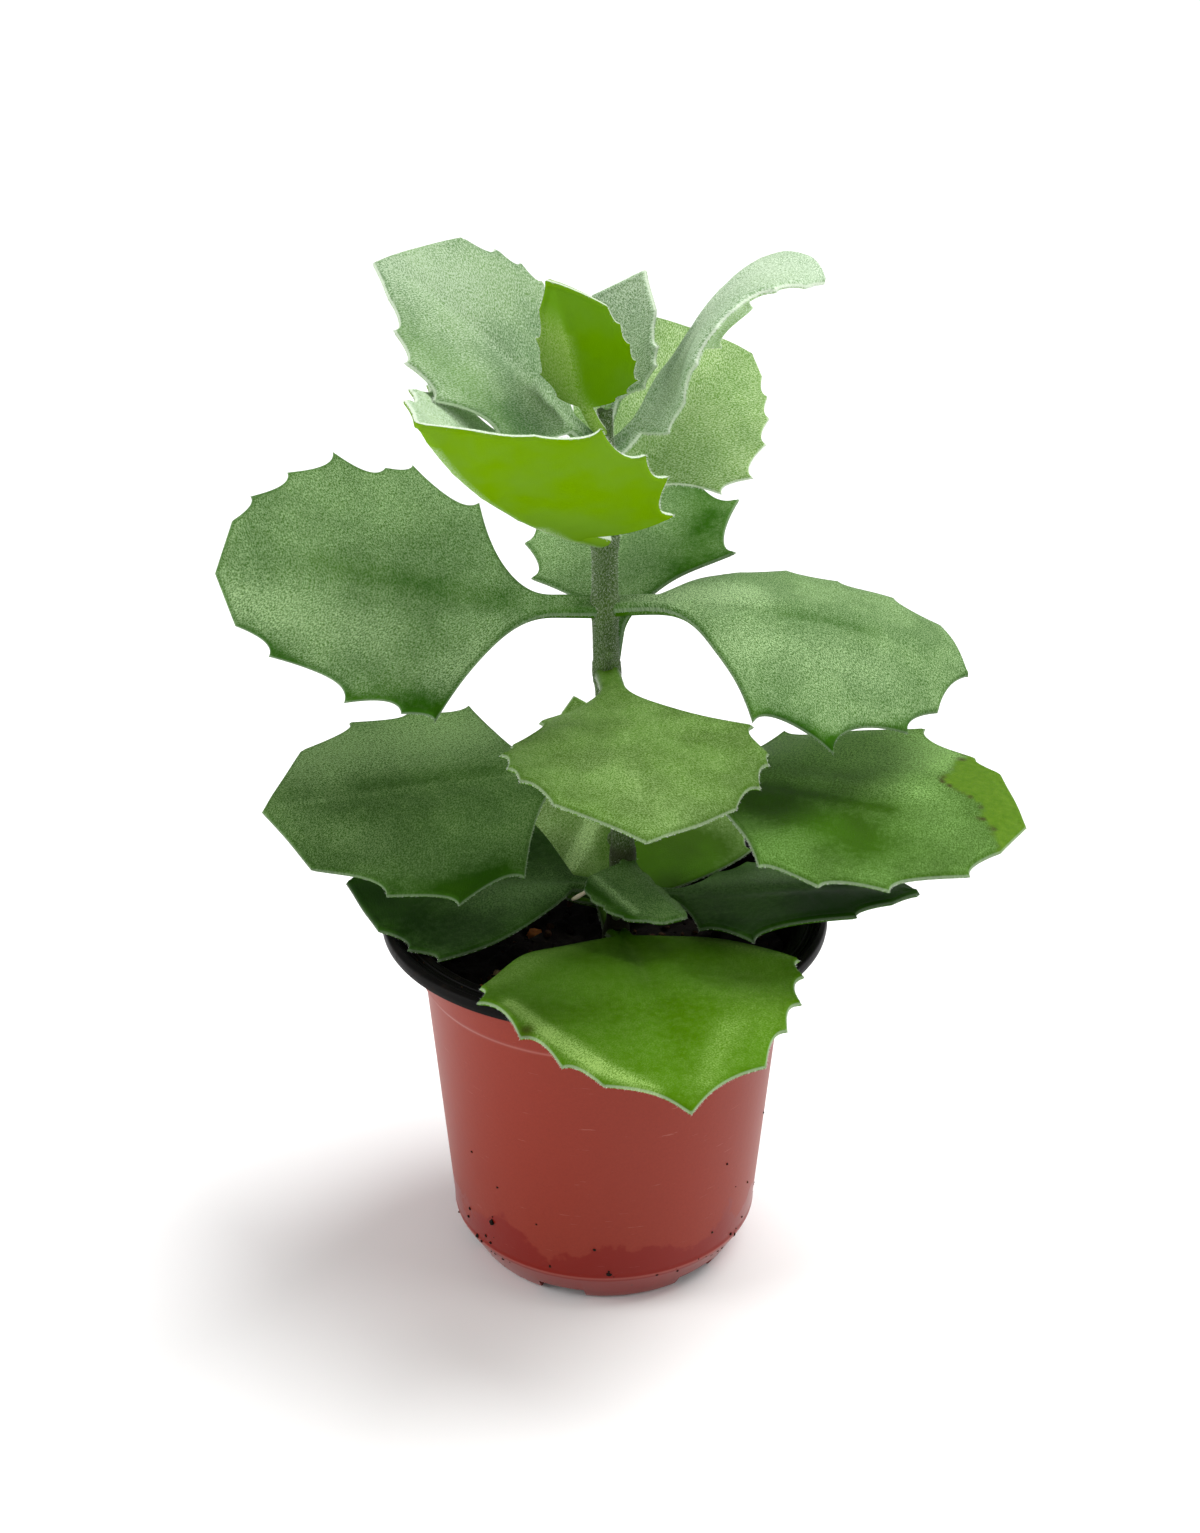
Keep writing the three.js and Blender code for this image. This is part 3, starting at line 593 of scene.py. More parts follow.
def tube(path, radii, sides):
    """A closed round tube along a chain of points."""
    path = np.asarray(path, float)
    ahead = unit(np.gradient(path, axis=0))
    side = unit(np.cross(ahead, (0.3, 0.2, 0.9)))
    other = np.cross(ahead, side)
    turns = circle(sides)
    ring = side[:, None] * np.cos(turns)[None, :, None] + other[:, None] * np.sin(turns)[None, :, None]
    points = (path[:, None] + ring * np.asarray(radii, float)[:, None, None]).reshape(-1, 3)
    return np.concatenate([points, path[[0, -1]]]), capped_rings(len(path), sides)


# ---- leaves ----


def through(values, t):
    start, middle, end = values
    return start * (1 - t) * (1 - 2 * t) + middle * 4 * t * (1 - t) + end * t * (2 * t - 1)


class Sheet:
    """A leaf's middle surface: a bent rib, with each half curving away from it as an arc."""

    steps = 80
    reach = 30

    def __init__(self, leaf):
        self.length = leaf["length"]
        t = np.linspace(0, 1, self.steps + 1)
        azimuth = leaf["azimuth"]
        along = direction(azimuth + 0 * t, through(leaf["rise"], t))
        side = direction(azimuth + 90 + 0 * t, 0 * t)
        level = np.cross(along, side)
        turn = np.radians(through(leaf["roll"], t))[:, None]
        half_way = t[:-1] + 0.5 / self.steps
        moves = direction(azimuth + 0 * half_way, through(leaf["rise"], half_way))
        moves *= self.length / self.steps
        self.point = stem_centre(leaf["node"]) + np.concatenate([np.zeros((1, 3)), np.cumsum(moves, 0)])
        self.left = side * np.cos(turn) + level * np.sin(turn)
        self.up = np.cross(along, self.left)
        self.fold = np.radians(np.array(leaf["fold"], float))

    def at(self, along, out, lift):
        """The point so far along the rib and out from it (left is positive), lifted off the sheet."""
        place = np.clip(along / self.length, 0, 1) * self.steps
        low = np.minimum(place.astype(int), self.steps - 1)
        part = (place - low)[:, None]
        point, left, up = [lerp(a[low], a[low + 1], part) for a in (self.point, self.left, self.up)]
        hand = np.where(out < 0, -1.0, 1.0)
        first, last = self.fold[np.where(out < 0, 1, 0)].T
        distance = np.abs(out)
        slope = lerp(first, last, distance / self.reach)
        bend = (last - first) / self.reach
        safe = np.where(np.abs(bend) < 1e-6, 1.0, bend)
        straight = np.abs(bend) < 1e-6
        across = np.where(straight, distance * np.cos(first), (np.sin(slope) - np.sin(first)) / safe)
        climb = np.where(straight, distance * np.sin(first), (np.cos(first) - np.cos(slope)) / safe)
        sideways = (hand * (across - lift * np.sin(slope)))[:, None]
        return point + unit(left) * sideways + unit(up) * (climb + lift * np.cos(slope))[:, None]


def curve(start, control, end, spacing):
    start, control, end = [np.array(p, float) for p in (start, control, end)]
    pieces = max(4, round(np.linalg.norm(end - start) / spacing))
    t = np.linspace(0, 1, pieces + 1)[1:, None]
    return list((1 - t) ** 2 * start + 2 * t * (1 - t) * control + t * t * end)


def between_teeth(start, end, depth, along, spacing):
    """The margin cuts in steeply past a tooth and runs gently up to the next."""
    start, end = np.array(start, float), np.array(end, float)
    run = end - start
    middle = start + run * along + np.array([run[1], -run[0]]) * depth
    return curve(start, 2 * middle - (start + end) / 2, end, spacing)


def margin_of(leaf, side, spacing):
    """The margin of the left (0) or right (1) half, from the root to the tip."""
    teeth = leaf[("left", "right")[side]]
    length, half = leaf["stalk"]
    ahead, outwards = leaf["shoulders"][side]
    neck = (length, half)
    control = (lerp(length, teeth[0][0], ahead), lerp(half, teeth[0][1], outwards))
    points = [np.array([ROOT, half], float)]
    points += curve(points[0], (length * 0.5, half), neck, spacing)
    points += curve(neck, control, teeth[0], spacing)
    for tooth, after in zip(teeth, teeth[1:]):
        points += between_teeth(tooth, after, leaf["notch"], NOTCH_ALONG, spacing)
    points += between_teeth(teeth[-1], (leaf["length"], 0), leaf["ends"][side], 0.5, spacing)
    return np.array(points)


def margin_distance(points, margin):
    """How far each point of the flat leaf is from its margin, a chain of points."""
    a, b = margin[:-1], margin[1:]
    run = b - a
    squared = np.maximum((run ** 2).sum(1), 1e-9)
    best = np.full(len(points), 1e9)
    for i in range(len(a)):
        offset = points - a[i]
        t = np.clip(offset @ run[i] / squared[i], 0, 1)
        best = np.minimum(best, ((offset - t[:, None] * run[i]) ** 2).sum(1))
    return np.sqrt(best)


# The blade's relief on a leaf of this length: depth and reach of the channel over the rib and of the
# rolled margin, the wave's height, and the side veins' depth, spacing and slant.
RELIEF = dict(length=85, channel=1.5, channel_reach=3.2, roll=0.7, roll_reach=3.6, wave=0.6, vein=0.13,
              vein_spacing=13, vein_slant=0.55)
# A raised line along the margin and a dip inside it: height, distance from the margin, half width.
BEAD = ((0.16, 0.65, 0.4), (-0.12, 1.7, 0.5))


def relief(leaf, along, out, edge, seed):
    """How far the blade's middle bulges: a channel at the rib, faint side veins, a rolled margin."""
    stalk_length = leaf["stalk"][0]
    scale = leaf["length"] / RELIEF["length"]
    away = np.abs(out)
    ahead = smoothstep(along, stalk_length * 0.6, stalk_length * 2.5)
    fade = ahead * (1 - 0.75 * along / leaf["length"])
    channel = -RELIEF["channel"] * scale * bump(out, RELIEF["channel_reach"] * scale) * fade
    rolled = np.clip(1 - edge / (RELIEF["roll_reach"] * scale), 0, 1)
    roll = -RELIEF["roll"] * scale * rolled ** 2 * ahead
    wave = np.sin(along / 9 + seed) * np.sin(out / 8 + seed * 1.7)
    wave += 0.6 * np.sin(along / 5 - out / 6 + seed * 2.3)
    wave *= RELIEF["wave"] * scale * smoothstep(away, 1, 14) * ahead
    slanted = along - RELIEF["vein_slant"] * away
    vein = np.clip(np.cos(slanted * 2 * math.pi / (RELIEF["vein_spacing"] * scale)), 0, 1)
    vein = -RELIEF["vein"] * vein ** 6 * smoothstep(edge, 2, 7) * ahead * np.exp(-away / 22)
    return channel + roll + wave + vein


def thickness(leaf, along, spread, edge):
    """Half the thickness above and below the middle surface, rounded to nothing at the margin."""
    length, half = leaf["stalk"]
    rim = MARGIN_HALF * (leaf["rib"] / RIB_HALF) ** 0.5
    rib = leaf["rib"] - rim
    blade = rim + rib * (1 - spread) ** 2 * (1 - 0.6 * along / leaf["length"])
    bead = sum(high * bump(edge - spot, width) for high, spot, width in BEAD)
    blade = (blade + bead) * np.sqrt(1 - (1 - np.clip(edge / (rim * 1.25), 0, 1)) ** 2)
    stalk = half * STALK_ROUND * np.sqrt(np.maximum(1 - spread ** 2, 0))
    groove = 1 - 0.62 * bump(spread, 0.5)
    share = smoothstep(along, length * 0.8, length * 2.4)
    return lerp(np.minimum(stalk, stalk * groove + 0.15), blade, share), lerp(stalk, blade, share)


# Where the stalk begins, ahead of its node. Then the leaf mesh: spacing along the margin, rows of points
# beside it, and spacing within. Leaves shorter than FULL_LENGTH have a finer mesh. INNER is how far in
# from the margin the line lies that the fringe points away from.
ROOT = 0.4
SPACING = 0.55
OFFSETS = (0.15, 0.4, 0.8, 1.35, 2.05)
GRAIN = 1.1
FULL_LENGTH = 60
INNER = 0.5


def inside(points, ring):
    """Which points lie within a closed ring of the flat leaf."""
    odd = np.zeros(len(points), bool)
    for (ax, ay), (bx, by) in zip(ring, np.roll(ring, -1, axis=0)):
        if ay != by:
            spans = (points[:, 1] > ay) != (points[:, 1] > by)
            odd ^= spans & (points[:, 0] < ax + (points[:, 1] - ay) * (bx - ax) / (by - ay))
    return odd


def inwards(margin):
    """From each point of the flat leaf's margin, the way into the leaf."""
    ahead = unit(np.gradient(margin, axis=0))
    return np.stack([-ahead[:, 1], ahead[:, 0]], -1)


def flat_leaf(leaf):
    """The flat leaf's points, triangles, distances from the margin, margin and number of root points.

    The first points are the margin's, from the right of the root round the tip to the left of it, and
    the next ones close the root.
    """
    scale = min(1, leaf["length"] / FULL_LENGTH)
    grain = GRAIN * scale
    right, left = [margin_of(leaf, side, SPACING * scale) for side in (1, 0)]
    margin = np.concatenate([right * (1, -1), left[-2::-1]])
    half = left[0][1]
    root = np.stack([np.full(7, ROOT), np.linspace(half, -half, 9)[1:-1]], -1)
    ring = np.concatenate([margin, root])
    fill = []
    for reach in OFFSETS:
        spots = margin + inwards(margin) * reach * scale
        fill.append(spots[margin_distance(spots, margin) > 0.93 * reach * scale])
    low, high = margin.min(0), margin.max(0)
    for number, y in enumerate(np.arange(low[1], high[1], grain * 0.87)):
        xs = np.arange(low[0] + 0.5 * grain * (number % 2), high[0], grain)
        spots = np.stack([xs, np.full(len(xs), y)], -1)
        fill.append(spots[margin_distance(spots, margin) > OFFSETS[-1] * scale + 0.45 * grain])
    fill = np.concatenate(fill)
    fill = fill[inside(fill, ring) & (fill[:, 0] > ROOT + 0.2 * grain)]
    points = np.concatenate([ring, fill])
    made = delaunay_2d_cdt([Vector(p) for p in points], [], [list(range(len(ring)))], 1, 1e-5)
    source = np.array([ids[0] for ids in made[3]])
    edge = margin_distance(points, margin)
    edge[:len(margin)] = 0
    faces = [tuple(int(source[i]) for i in face) for face in made[2]]
    return points, faces, edge, margin, len(root)


def leaf_surface(leaf, seed):
    """A leaf's points, faces, attributes, number of upper faces, and a line just inside its margin."""
    sheet = Sheet(leaf)
    flat, flat_faces, edge, margin, root_count = flat_leaf(leaf)
    along, out = flat.T
    spread = np.abs(out) / np.maximum(np.abs(out) + edge, 1e-6)
    spread[:len(margin)] = 1
    middle = relief(leaf, along, out, edge, seed)
    above, below = thickness(leaf, along, spread, edge)
    top = sheet.at(along, out, middle + above)
    bottom = sheet.at(along, out, middle - below)

    # The margin's points belong to both faces. The root is closed by a wall between them.
    rim, total = len(margin), len(flat)
    lower = np.arange(total) + total - rim
    lower[:rim] = np.arange(rim)
    faces = list(flat_faces)
    faces += [tuple(int(lower[i]) for i in face[::-1]) for face in flat_faces]
    chain = [rim - 1, *range(rim, rim + root_count), 0]
    for a, b in zip(chain, chain[1:]):
        faces.append(tuple(dict.fromkeys((b, a, int(lower[a]), int(lower[b])))))

    def both(a, b):
        return np.concatenate([a, b[rim:]])

    spot = np.stack([along, out, np.full(total, seed * 31.0)], -1)
    attributes = dict(sheet=both(spot, spot), edge=both(edge, edge))
    inner = (margin + inwards(margin) * INNER).T
    inner = sheet.at(*inner, relief(leaf, *inner, np.full(rim, INNER), seed))
    return both(top, bottom), faces, attributes, len(flat_faces), inner


def hair_cones(roots, ways, lengths, radius, rng):
    """Fine hairs as closed three-sided spikes."""
    ways = unit(ways)
    side = unit(np.cross(ways, rng.normal(size=ways.shape)))
    other = np.cross(ways, side)
    corners = []
    for turn in (0, 2 * math.pi / 3, 4 * math.pi / 3):
        offset = side * math.cos(turn) + other * math.sin(turn)
        corners.append(roots + offset * radius)
    corners.append(roots + ways * np.asarray(lengths)[:, None])
    points = np.stack(corners, 1).reshape(-1, 3)
    starts = 4 * np.arange(len(roots))[:, None, None]
    faces = starts + np.array([(0, 2, 1), (0, 1, 3), (1, 2, 3), (2, 0, 3)])[None]
    return points, [tuple(f) for f in faces.reshape(-1, 3).tolist()]


def margin_hairs(chain, inner, per_mm, length, rng):
    """Hairs along a leaf's margin, standing outwards and a little askew."""
    runs = np.linalg.norm(np.diff(chain, axis=0), axis=1)
    total = runs.sum()
    spots = np.sort(rng.uniform(0, total, int(total * per_mm)))
    ends = np.cumsum(runs)
    seg = np.minimum(np.searchsorted(ends, spots), len(runs) - 1)
    part = ((spots - (ends[seg] - runs[seg])) / np.maximum(runs[seg], 1e-9))[:, None]
    roots = lerp(chain[seg], chain[seg + 1], part)
    outward = unit(roots - lerp(inner[seg], inner[seg + 1], part))
    ways = outward + rng.normal(scale=FRINGE["askew"], size=roots.shape)
    lengths = length * rng.uniform(*FRINGE["lengths"], len(roots))
    return hair_cones(roots - outward * FRINGE["sunk"], ways, lengths, FRINGE["radius"], rng)


# Paler and darker bands of felt, many of them painted light and shade: highlights where a blade faces the
# light, paler felt where a leaf lies in the shadow of one above, and darker felt for shade near the stem,
# in the rib's channel and on the low leaves. Each runs from one place on the flat leaf to another, with
# its half width and how much felt it adds.
PAINTED_LIGHT_AND_FELT_BANDS = dict(
    leaf_a_left=((22, -1, 62, -5, 3, -0.2), (66, -4, 74, -2, 2.4, -0.06), (14, 5, 34, 6, 2, 0.08),
                 (36, 27, 46, 26, 5, -0.34), (10, 5, 34, 29, 1.5, -0.3), (50, 26, 76, 12, 1.5, -0.3),
                 (25, 13, 34, 19, 4, 0.24), (48, 10, 76, 6, 6, 0.2), (20, -20, 40, -28, 6, 0.06)),
    leaf_a_right=((18, -1, 60, 0, 2, -0.14), (31, -31, 52, -33, 3, -0.34), (52, -33, 71, -21, 2, -0.3),
                  (30, -12, 60, -12, 6, 0.14), (10, 1, 30, 5, 6, 0.5)),
    leaf_b_front=((0, 0, 26, 0, 1.8, 0.5), (26, 0, 66, 0, 0.7, 0.35)),
    leaf_c_front=((10, 0, 60, 0, 0.8, 0.06), (50, -6, 66, 6, 8, 0.1)),
    leaf_c_back=((14, -17, 54, -19, 9, -0.35),),
    leaf_d_left=((16, 15, 52, 15, 6, -0.28), (8, 0, 58, 0, 1.4, 0.16), (46, -6, 60, -2, 6, 0.4)),
    leaf_d_right=((44, 0, 64, 0, 8, 0.2),),
    leaf_e_front=((4, 0, 26, 0, 1.0, 0.3), (0, 0, 9, 0, 3, 0.5)),
    leaf_f_left=((14, -1, 74, 0, 0.8, 0.14), (30, 29, 40, 31, 5, -0.3), (41, 31, 57, 26, 3, -0.2),
                 (26, -20, 64, -14, 9, 0.62), (26, -3, 56, -3, 3, -0.14), (56, 14, 74, 4, 5, 0.14)),
    leaf_f_right=((34, -8, 58, -17, 8, -0.3), (18, 3, 68, 4, 2.4, 0.16), (30, -2, 62, -4, 2, -0.2),
                  (26, 20, 66, 22, 9, 0.75), (66, 6, 76, -8, 6, 0.14)),
    leaf_g_front=((6, -9.4, 24, -7.2, 0.8, 0.5), (7, -12.6, 26, -9.2, 1.3, -0.3)),
    leaf_h_left=((38, -14, 60, 12, 14, -0.2), (8, 2, 30, 8, 7, 0.34)),
    leaf_h_right=((38, -20, 62, 0, 14, -0.14), (8, 4, 40, 10, 6, 0.36)),
    leaf_i_front=((48, -31, 61, -25, 1.5, 0.8), (61, -25, 71, -17, 1.9, 1.0), (71, -17, 79, -7, 1.6, 0.8),
                  (8, 0, 40, 0, 0.8, 0.1), (64, 12, 78, 4, 3, 0.22), (40, 20, 62, 20, 8, 0.12),
                  (12, -8, 36, -32, 4, 0.26), (12, 8, 36, 31, 4, 0.26)),
    leaf_i_back=((24, 7, 42, -3, 2.0, 0.8), (20, 15, 50, 14, 8, 0.32), (8, 6, 22, 12, 6, -0.4),
                 (6, -8, 24, -22, 9, -0.5), (26, -8, 34, -10, 5, -0.3), (36, -28, 52, -22, 8, 0.2)),
)


# Where the bald tip of leaf_f_right begins: distance out from the rib, and along it.
BALD_EDGE = ((-14, 88), (-10, 86), (-3, 83), (4, 79), (9, 71.5), (12, 71), (20, 74), (28, 74))
RUSTY_SPOT = dict(leaf="leaf_i_front", along=59, out=-29, size=2.2, strength=0.7)


def paint(leaf, attributes):
    """Marks of single leaves: darker or paler felt, much of it painted shade and highlight, a bald patch
    with scars, a rusty spot.
    """
    flat = attributes["sheet"][:, :2]
    along, out = flat.T
    stalk_length = leaf["stalk"][0]
    tone = -0.16 * smoothstep(-along, -stalk_length * 2.2, -stalk_length * 0.4)
    bald, scar = np.zeros(len(along)), np.zeros(len(along))
    # Bands of felt, many of them painted highlights and painted shade.
    for *ends, width, amount in PAINTED_LIGHT_AND_FELT_BANDS.get(leaf["name"], ()):
        gap = margin_distance(flat, np.array(ends, float).reshape(2, 2))
        tone += amount * bump(gap, width)
    # On the bud leaf, pale felt covers one half's painted glow of light through the blade, where that
    # half lies in shade.
    if leaf["look"] == "bud":
        tone += 0.62 * smoothstep(-out, 0, 1) * smoothstep(-along, -34, -24)
    # Paler towards the tip: a painted highlight on the tip that faces the light.
    if leaf["look"] in ("mint", "grey"):
        tone += 0.12 * smoothstep(along / leaf["length"], 0.45, 1.0)
    if leaf["look"] == "scarred":
        ragged = fractal(np.stack([along, out, 0 * out], -1), 5.0, 4) * 4
        border = along - np.interp(out, *zip(*BALD_EDGE)) + 0.4 * ragged
        bald = smoothstep(border, -0.4, 0.8)
        line = bump(border, 0.6) * smoothstep(out, -12, -2)
        dots = fractal(np.stack([along, out, 0 * out + 9], -1), 1.6, 2)
        scar = np.clip(line * smoothstep(dots, -0.1, 0.35), 0, 1)
    if leaf["name"] == RUSTY_SPOT["leaf"]:
        gap = (along - RUSTY_SPOT["along"]) ** 2 + (out - RUSTY_SPOT["out"]) ** 2
        scar = np.exp(-(gap / RUSTY_SPOT["size"])) * RUSTY_SPOT["strength"]
    attributes.update(tone=tone, bald=bald, scar=scar)


# The hairs of a margin: radius, how far they lean askew and sink in, and shares of their usual length.
FRINGE = dict(radius=0.028, askew=0.45, sunk=0.05, lengths=(0.5, 1.15))
# Hairs for each mm of margin and their length, for most looks and for those that differ.
USUAL_FRINGE = (6, 0.45)
FELTED = ("mint", "grey", "pale", "backlit", "bud")
FRINGES = {**dict.fromkeys(FELTED, (9, 0.62)), **dict.fromkeys(("deep", "shade", "green"), (3, 0.35))}
# The stem's hairs, which grow denser towards its top as crowding falls below 1.
STEM_HAIRS = dict(count=4500, crowding=0.35, radius=0.024, askew=0.4, sunk=0.03, lengths=(0.25, 0.65),
                  seed=5)
# What is added to a leaf's number for its seed, on the stem's own leaves and on the others.
TIP_SEED, LEAF_SEED = 41, 1


def build_leaves(leaves, hair, replaced=None):
    materials = {}
    for number, leaf in enumerate({**USUAL_LEAF, **row} for row in leaves):
        look = leaf["look"]
        if look not in materials:
            materials[look] = [upper_material("felt_" + look, LOOKS[look]),
                               under_material("skin_" + look, LOOKS[look])]
        seed = number + (TIP_SEED if replaced else LEAF_SEED)
        points, faces, attributes, upper, inner = leaf_surface(leaf, seed)
        paint(leaf, attributes)
        slot = "stem" if replaced else "young_leaf" if look in FELTED else "leaf"
        name = leaf["name"] if replaced else leaf["name"].replace("leaf_", "blade_", 1)
        make_piece(name, points, faces, materials[look], slot, replaced or leaf["name"], attributes,
                   upper)
        per_mm, length = FRINGES.get(look, USUAL_FRINGE)
        rng = np.random.default_rng(seed)
        fringe = margin_hairs(points[:len(inner)], inner, per_mm, length, rng)
        make_piece(name + "_fringe", *fringe, [hair], slot)


def build_stem(hair):
    points, faces, attributes = stem_body()
    felt = stem_material()
    make_piece("stem_shaft", points, faces, [felt], "stem", "stem", attributes)
    rng = np.random.default_rng(STEM_HAIRS["seed"])
    count = STEM_HAIRS["count"]
    shares = rng.random(count) ** STEM_HAIRS["crowding"]
    heights = SOIL["level"] + (STEM["top"] - SOIL["level"]) * shares
    turns = rng.uniform(0, 360, count)
    out = direction(turns, 0 * turns)
    roots = stem_centre(heights) + out * (stem_radius(heights)[:, None] - STEM_HAIRS["sunk"])
    ways = out + rng.normal(scale=STEM_HAIRS["askew"], size=out.shape)
    lengths = rng.uniform(*STEM_HAIRS["lengths"], count)
    hairs = hair_cones(roots, ways, lengths, STEM_HAIRS["radius"], rng)
    make_piece("stem_hairs", *hairs, [hair], "stem")
    for number, bud in enumerate(BUDS):
        seat = stem_centre(bud["height"]) + direction(bud["azimuth"], 0) * stem_radius(bud["height"])
        points, faces = ball(seat, bud["size"], (1, 1, 1.3), 0.12, number)
        spots = dict(sheet=points, tone=np.zeros(len(points)))
        make_piece(f"bud_{number + 1}", points, faces, [felt], "stem", "stem", spots)
    t = np.linspace(0, 1, 18)
    way = direction(STUB["azimuth"], STUB["droop"])
    path = stem_centre(STUB["height"]) + way * (STUB["length"] * t)[:, None]
    path[:, 2] += 0.5 * np.sin(t * 5) * t
    radii = lerp(STUB["radius"], STUB["radius"] * 0.45, t) * (1 + 0.18 * np.sin(t * 23))
    make_piece("stalk_stub", *tube(path, radii, 14), [dry_material()], "stem", "stem")


# ---- soil ----


def soil_height(x, y):
    waves = np.sin(x * 0.31 + 1.7) * np.cos(y * 0.27) + 0.6 * np.sin(x * 0.83 - y * 0.71)
    return SOIL["level"] + SOIL["relief"] * waves * 0.6


def random_draw(seed):
    state = [seed]

    def draw():
        state[0] = (state[0] * 16807) % 2147483647
        return state[0] / 2147483647

    return draw


def build_soil():
    gap = POT["wall"] + 0.05
    brim = POT["step_radius"] + POT["step_out"] - gap
    sides, rings = 220, 64
    turns = circle(sides)
    round_ = np.stack([np.cos(turns), np.sin(turns)], -1)
    rows = []
    for radius, height in (
        (POT["foot_radius"] - gap, POT["floor"]), (POT["bevel_radius"] - gap, POT["bevel_top"] + 0.2),
        (POT["step_radius"] - gap, POT["step_height"] + 0.2), (brim, POT["step_height"] + 1.8),
    ):
        rows.append(np.concatenate([round_ * radius, np.full((sides, 1), height)], 1))
    for radius in brim * (1 - np.arange(rings) / rings):
        x, y = (round_ * radius).T
        lumps = fractal(np.stack([x, y, 0 * x], -1), 6.0, 5, 0.55)
        fine = fractal(np.stack([x, y, 0 * x + 30], -1), 1.8, 3, 0.6)
        rows.append(np.stack([x, y, soil_height(x, y) + 0.9 * lumps + 0.35 * fine], -1))
    points = np.concatenate(rows + [np.array([[0, 0, POT["floor"]], [0, 0, SOIL["level"]]])])
    faces = capped_rings(len(rows), sides)
    make_piece("potting_soil", points, faces, [soil_material()], "soil", "soil")


# Clay granules that lie in view in front of the stem, besides the ones placed by the rule.
SEEN_GRANULES = ((-4.2, -8.5, 2.3), (11.5, -11.5, 2.2), (-27.5, -18.5, 1.6), (-24.5, -20.5, 2.1),
                 (6.5, 14, 1.7))
CRUMBS = dict(count=330, reach=40.5, sizes=(0.35, 1.25), large=1.4, seed=11)
# Rings and sides of a granule and of a crumb.
CLAY_MESH, CRUMB_MESH = (14, 20), (6, 8)


def crumb(spot, size, flattest, seed, rng):
    """A lump of soil that is squashed at random along each axis."""
    return ball(spot, size, rng.uniform(flattest, 1.0, 3), 0.4, seed, *CRUMB_MESH)


def build_grit():
    """Clay granules by the solid's own rule, a few more in view, and crumbs of soil."""
    draw = random_draw(SOIL["seed"])
    clay = []
    for i in range(SOIL["granules"]):
        turn = 2 * math.pi * (i * 0.382 + 0.05 * draw())
        radius = lerp(9, 37, math.sqrt((i + 0.5) / SOIL["granules"]))
        size = SOIL["granule_size"] * lerp(0.6, 1, draw())
        flat = lerp(0.7, 0.9, draw())
        draw()  # the solid's rule turns the granule by this one
        x, y = around(radius, turn)
        spot = (x, y, soil_height(x, y) - size * 0.1)
        clay.append(ball(spot, size, (1, flat, 0.7), 0.3, i, *CLAY_MESH))
    for i, (x, y, size) in enumerate(SEEN_GRANULES):
        spot = (x, y, soil_height(x, y) + size * 0.25)
        clay.append(ball(spot, size, (1, 0.8, 0.75), 0.35, 50 + i, *CLAY_MESH))
    make_piece("clay_granules", *merged(clay), [clay_material()], "soil")
    rng = np.random.default_rng(CRUMBS["seed"])
    crumbs = []
    for i in range(CRUMBS["count"]):
        turn, radius = rng.uniform(0, 2 * math.pi), CRUMBS["reach"] * math.sqrt(rng.uniform(0.005, 1))
        size = rng.uniform(*CRUMBS["sizes"]) * (CRUMBS["large"] if i % 9 == 0 else 1)
        x, y = around(radius, turn)
        spot = (x, y, soil_height(x, y) + size * 0.3)
        crumbs.append(crumb(spot, size, 0.45, i, rng))
    make_piece("soil_crumbs", *merged(crumbs), [crumb_material()], "soil")


# ---- pot ----


def rounded(profile, radius):
    """The profile with its corners eased by short curves, no longer than a third of either side."""
    points = [profile[0]]
    for before, corner, after in zip(profile, profile[1:], profile[2:]):
        a, b, c = [np.array(p, float) for p in (before, corner, after)]
        to_a, to_c = np.linalg.norm(a - b), np.linalg.norm(c - b)
        reach = min(radius, to_a / 3, to_c / 3)
        start, end = b + (a - b) / to_a * reach, b + (c - b) / to_c * reach
        for t in np.linspace(0, 1, 6):
            points.append(tuple((1 - t) ** 2 * start + 2 * t * (1 - t) * b + t * t * end))
    return points + [profile[-1]]


def flange_ridges():
    """Fine raised rings on the rim's flat top, from its outer edge inwards."""
    inner, outer = POT["rim_inner"] + 0.9, POT["rim_outer"] - 1.9
    radii = np.linspace(outer, inner, 33)
    lift = 0.16 * np.clip(np.sin((outer - radii) / (outer - inner) * 3 * 2 * math.pi - 0.6), 0, 1)
    dip = 0.5 * np.sin((outer - radii) / (outer - inner) * math.pi)
    return [(float(r), float(POT["rim_top"] - 0.25 - d + h)) for r, d, h in zip(radii, dip, lift)]


def spun(profile, sides):
    """A profile of radii and heights, turned about +Z and closed on its axis at both ends."""
    turns = circle(sides)
    body = [p for p in profile if p[0] > 1e-6]
    points = [(*around(r, t), z) for r, z in body for t in turns]
    points += [(0, 0, profile[0][1]), (0, 0, profile[-1][1])]
    return np.array(points), capped_rings(len(body), sides)


def slot_cutters():
    """Blocks with rounded corners that cut the drainage slots out of the foot's edge."""
    corner, radius, outline = SLOTS["corner"], POT["foot_radius"], []
    for quarter, (ahead, left) in enumerate(((1, 1), (-1, 1), (-1, -1), (1, -1))):
        x, y = ahead * (SLOTS["depth"] / 2 - corner), left * (SLOTS["width"] / 2 - corner)
        for step in range(6):
            dx, dy = around(corner, math.radians(90 * quarter + 18 * step))
            outline.append((x + dx, y + dy))
    n = len(outline)
    faces = ring_faces(2, n) + [tuple(range(n))[::-1], tuple(range(n, 2 * n))]
    parts = []
    for i in range(SLOTS["count"]):
        turn = math.radians(SLOTS["first"] + 360 * i / SLOTS["count"])
        c, s = math.cos(turn), math.sin(turn)
        points = [(c * (radius + x) - s * y, s * (radius + x) + c * y, z)
                  for z in (-SLOTS["height"], SLOTS["height"]) for x, y in outline]
        parts.append((np.array(points), faces))
    return merged(parts)


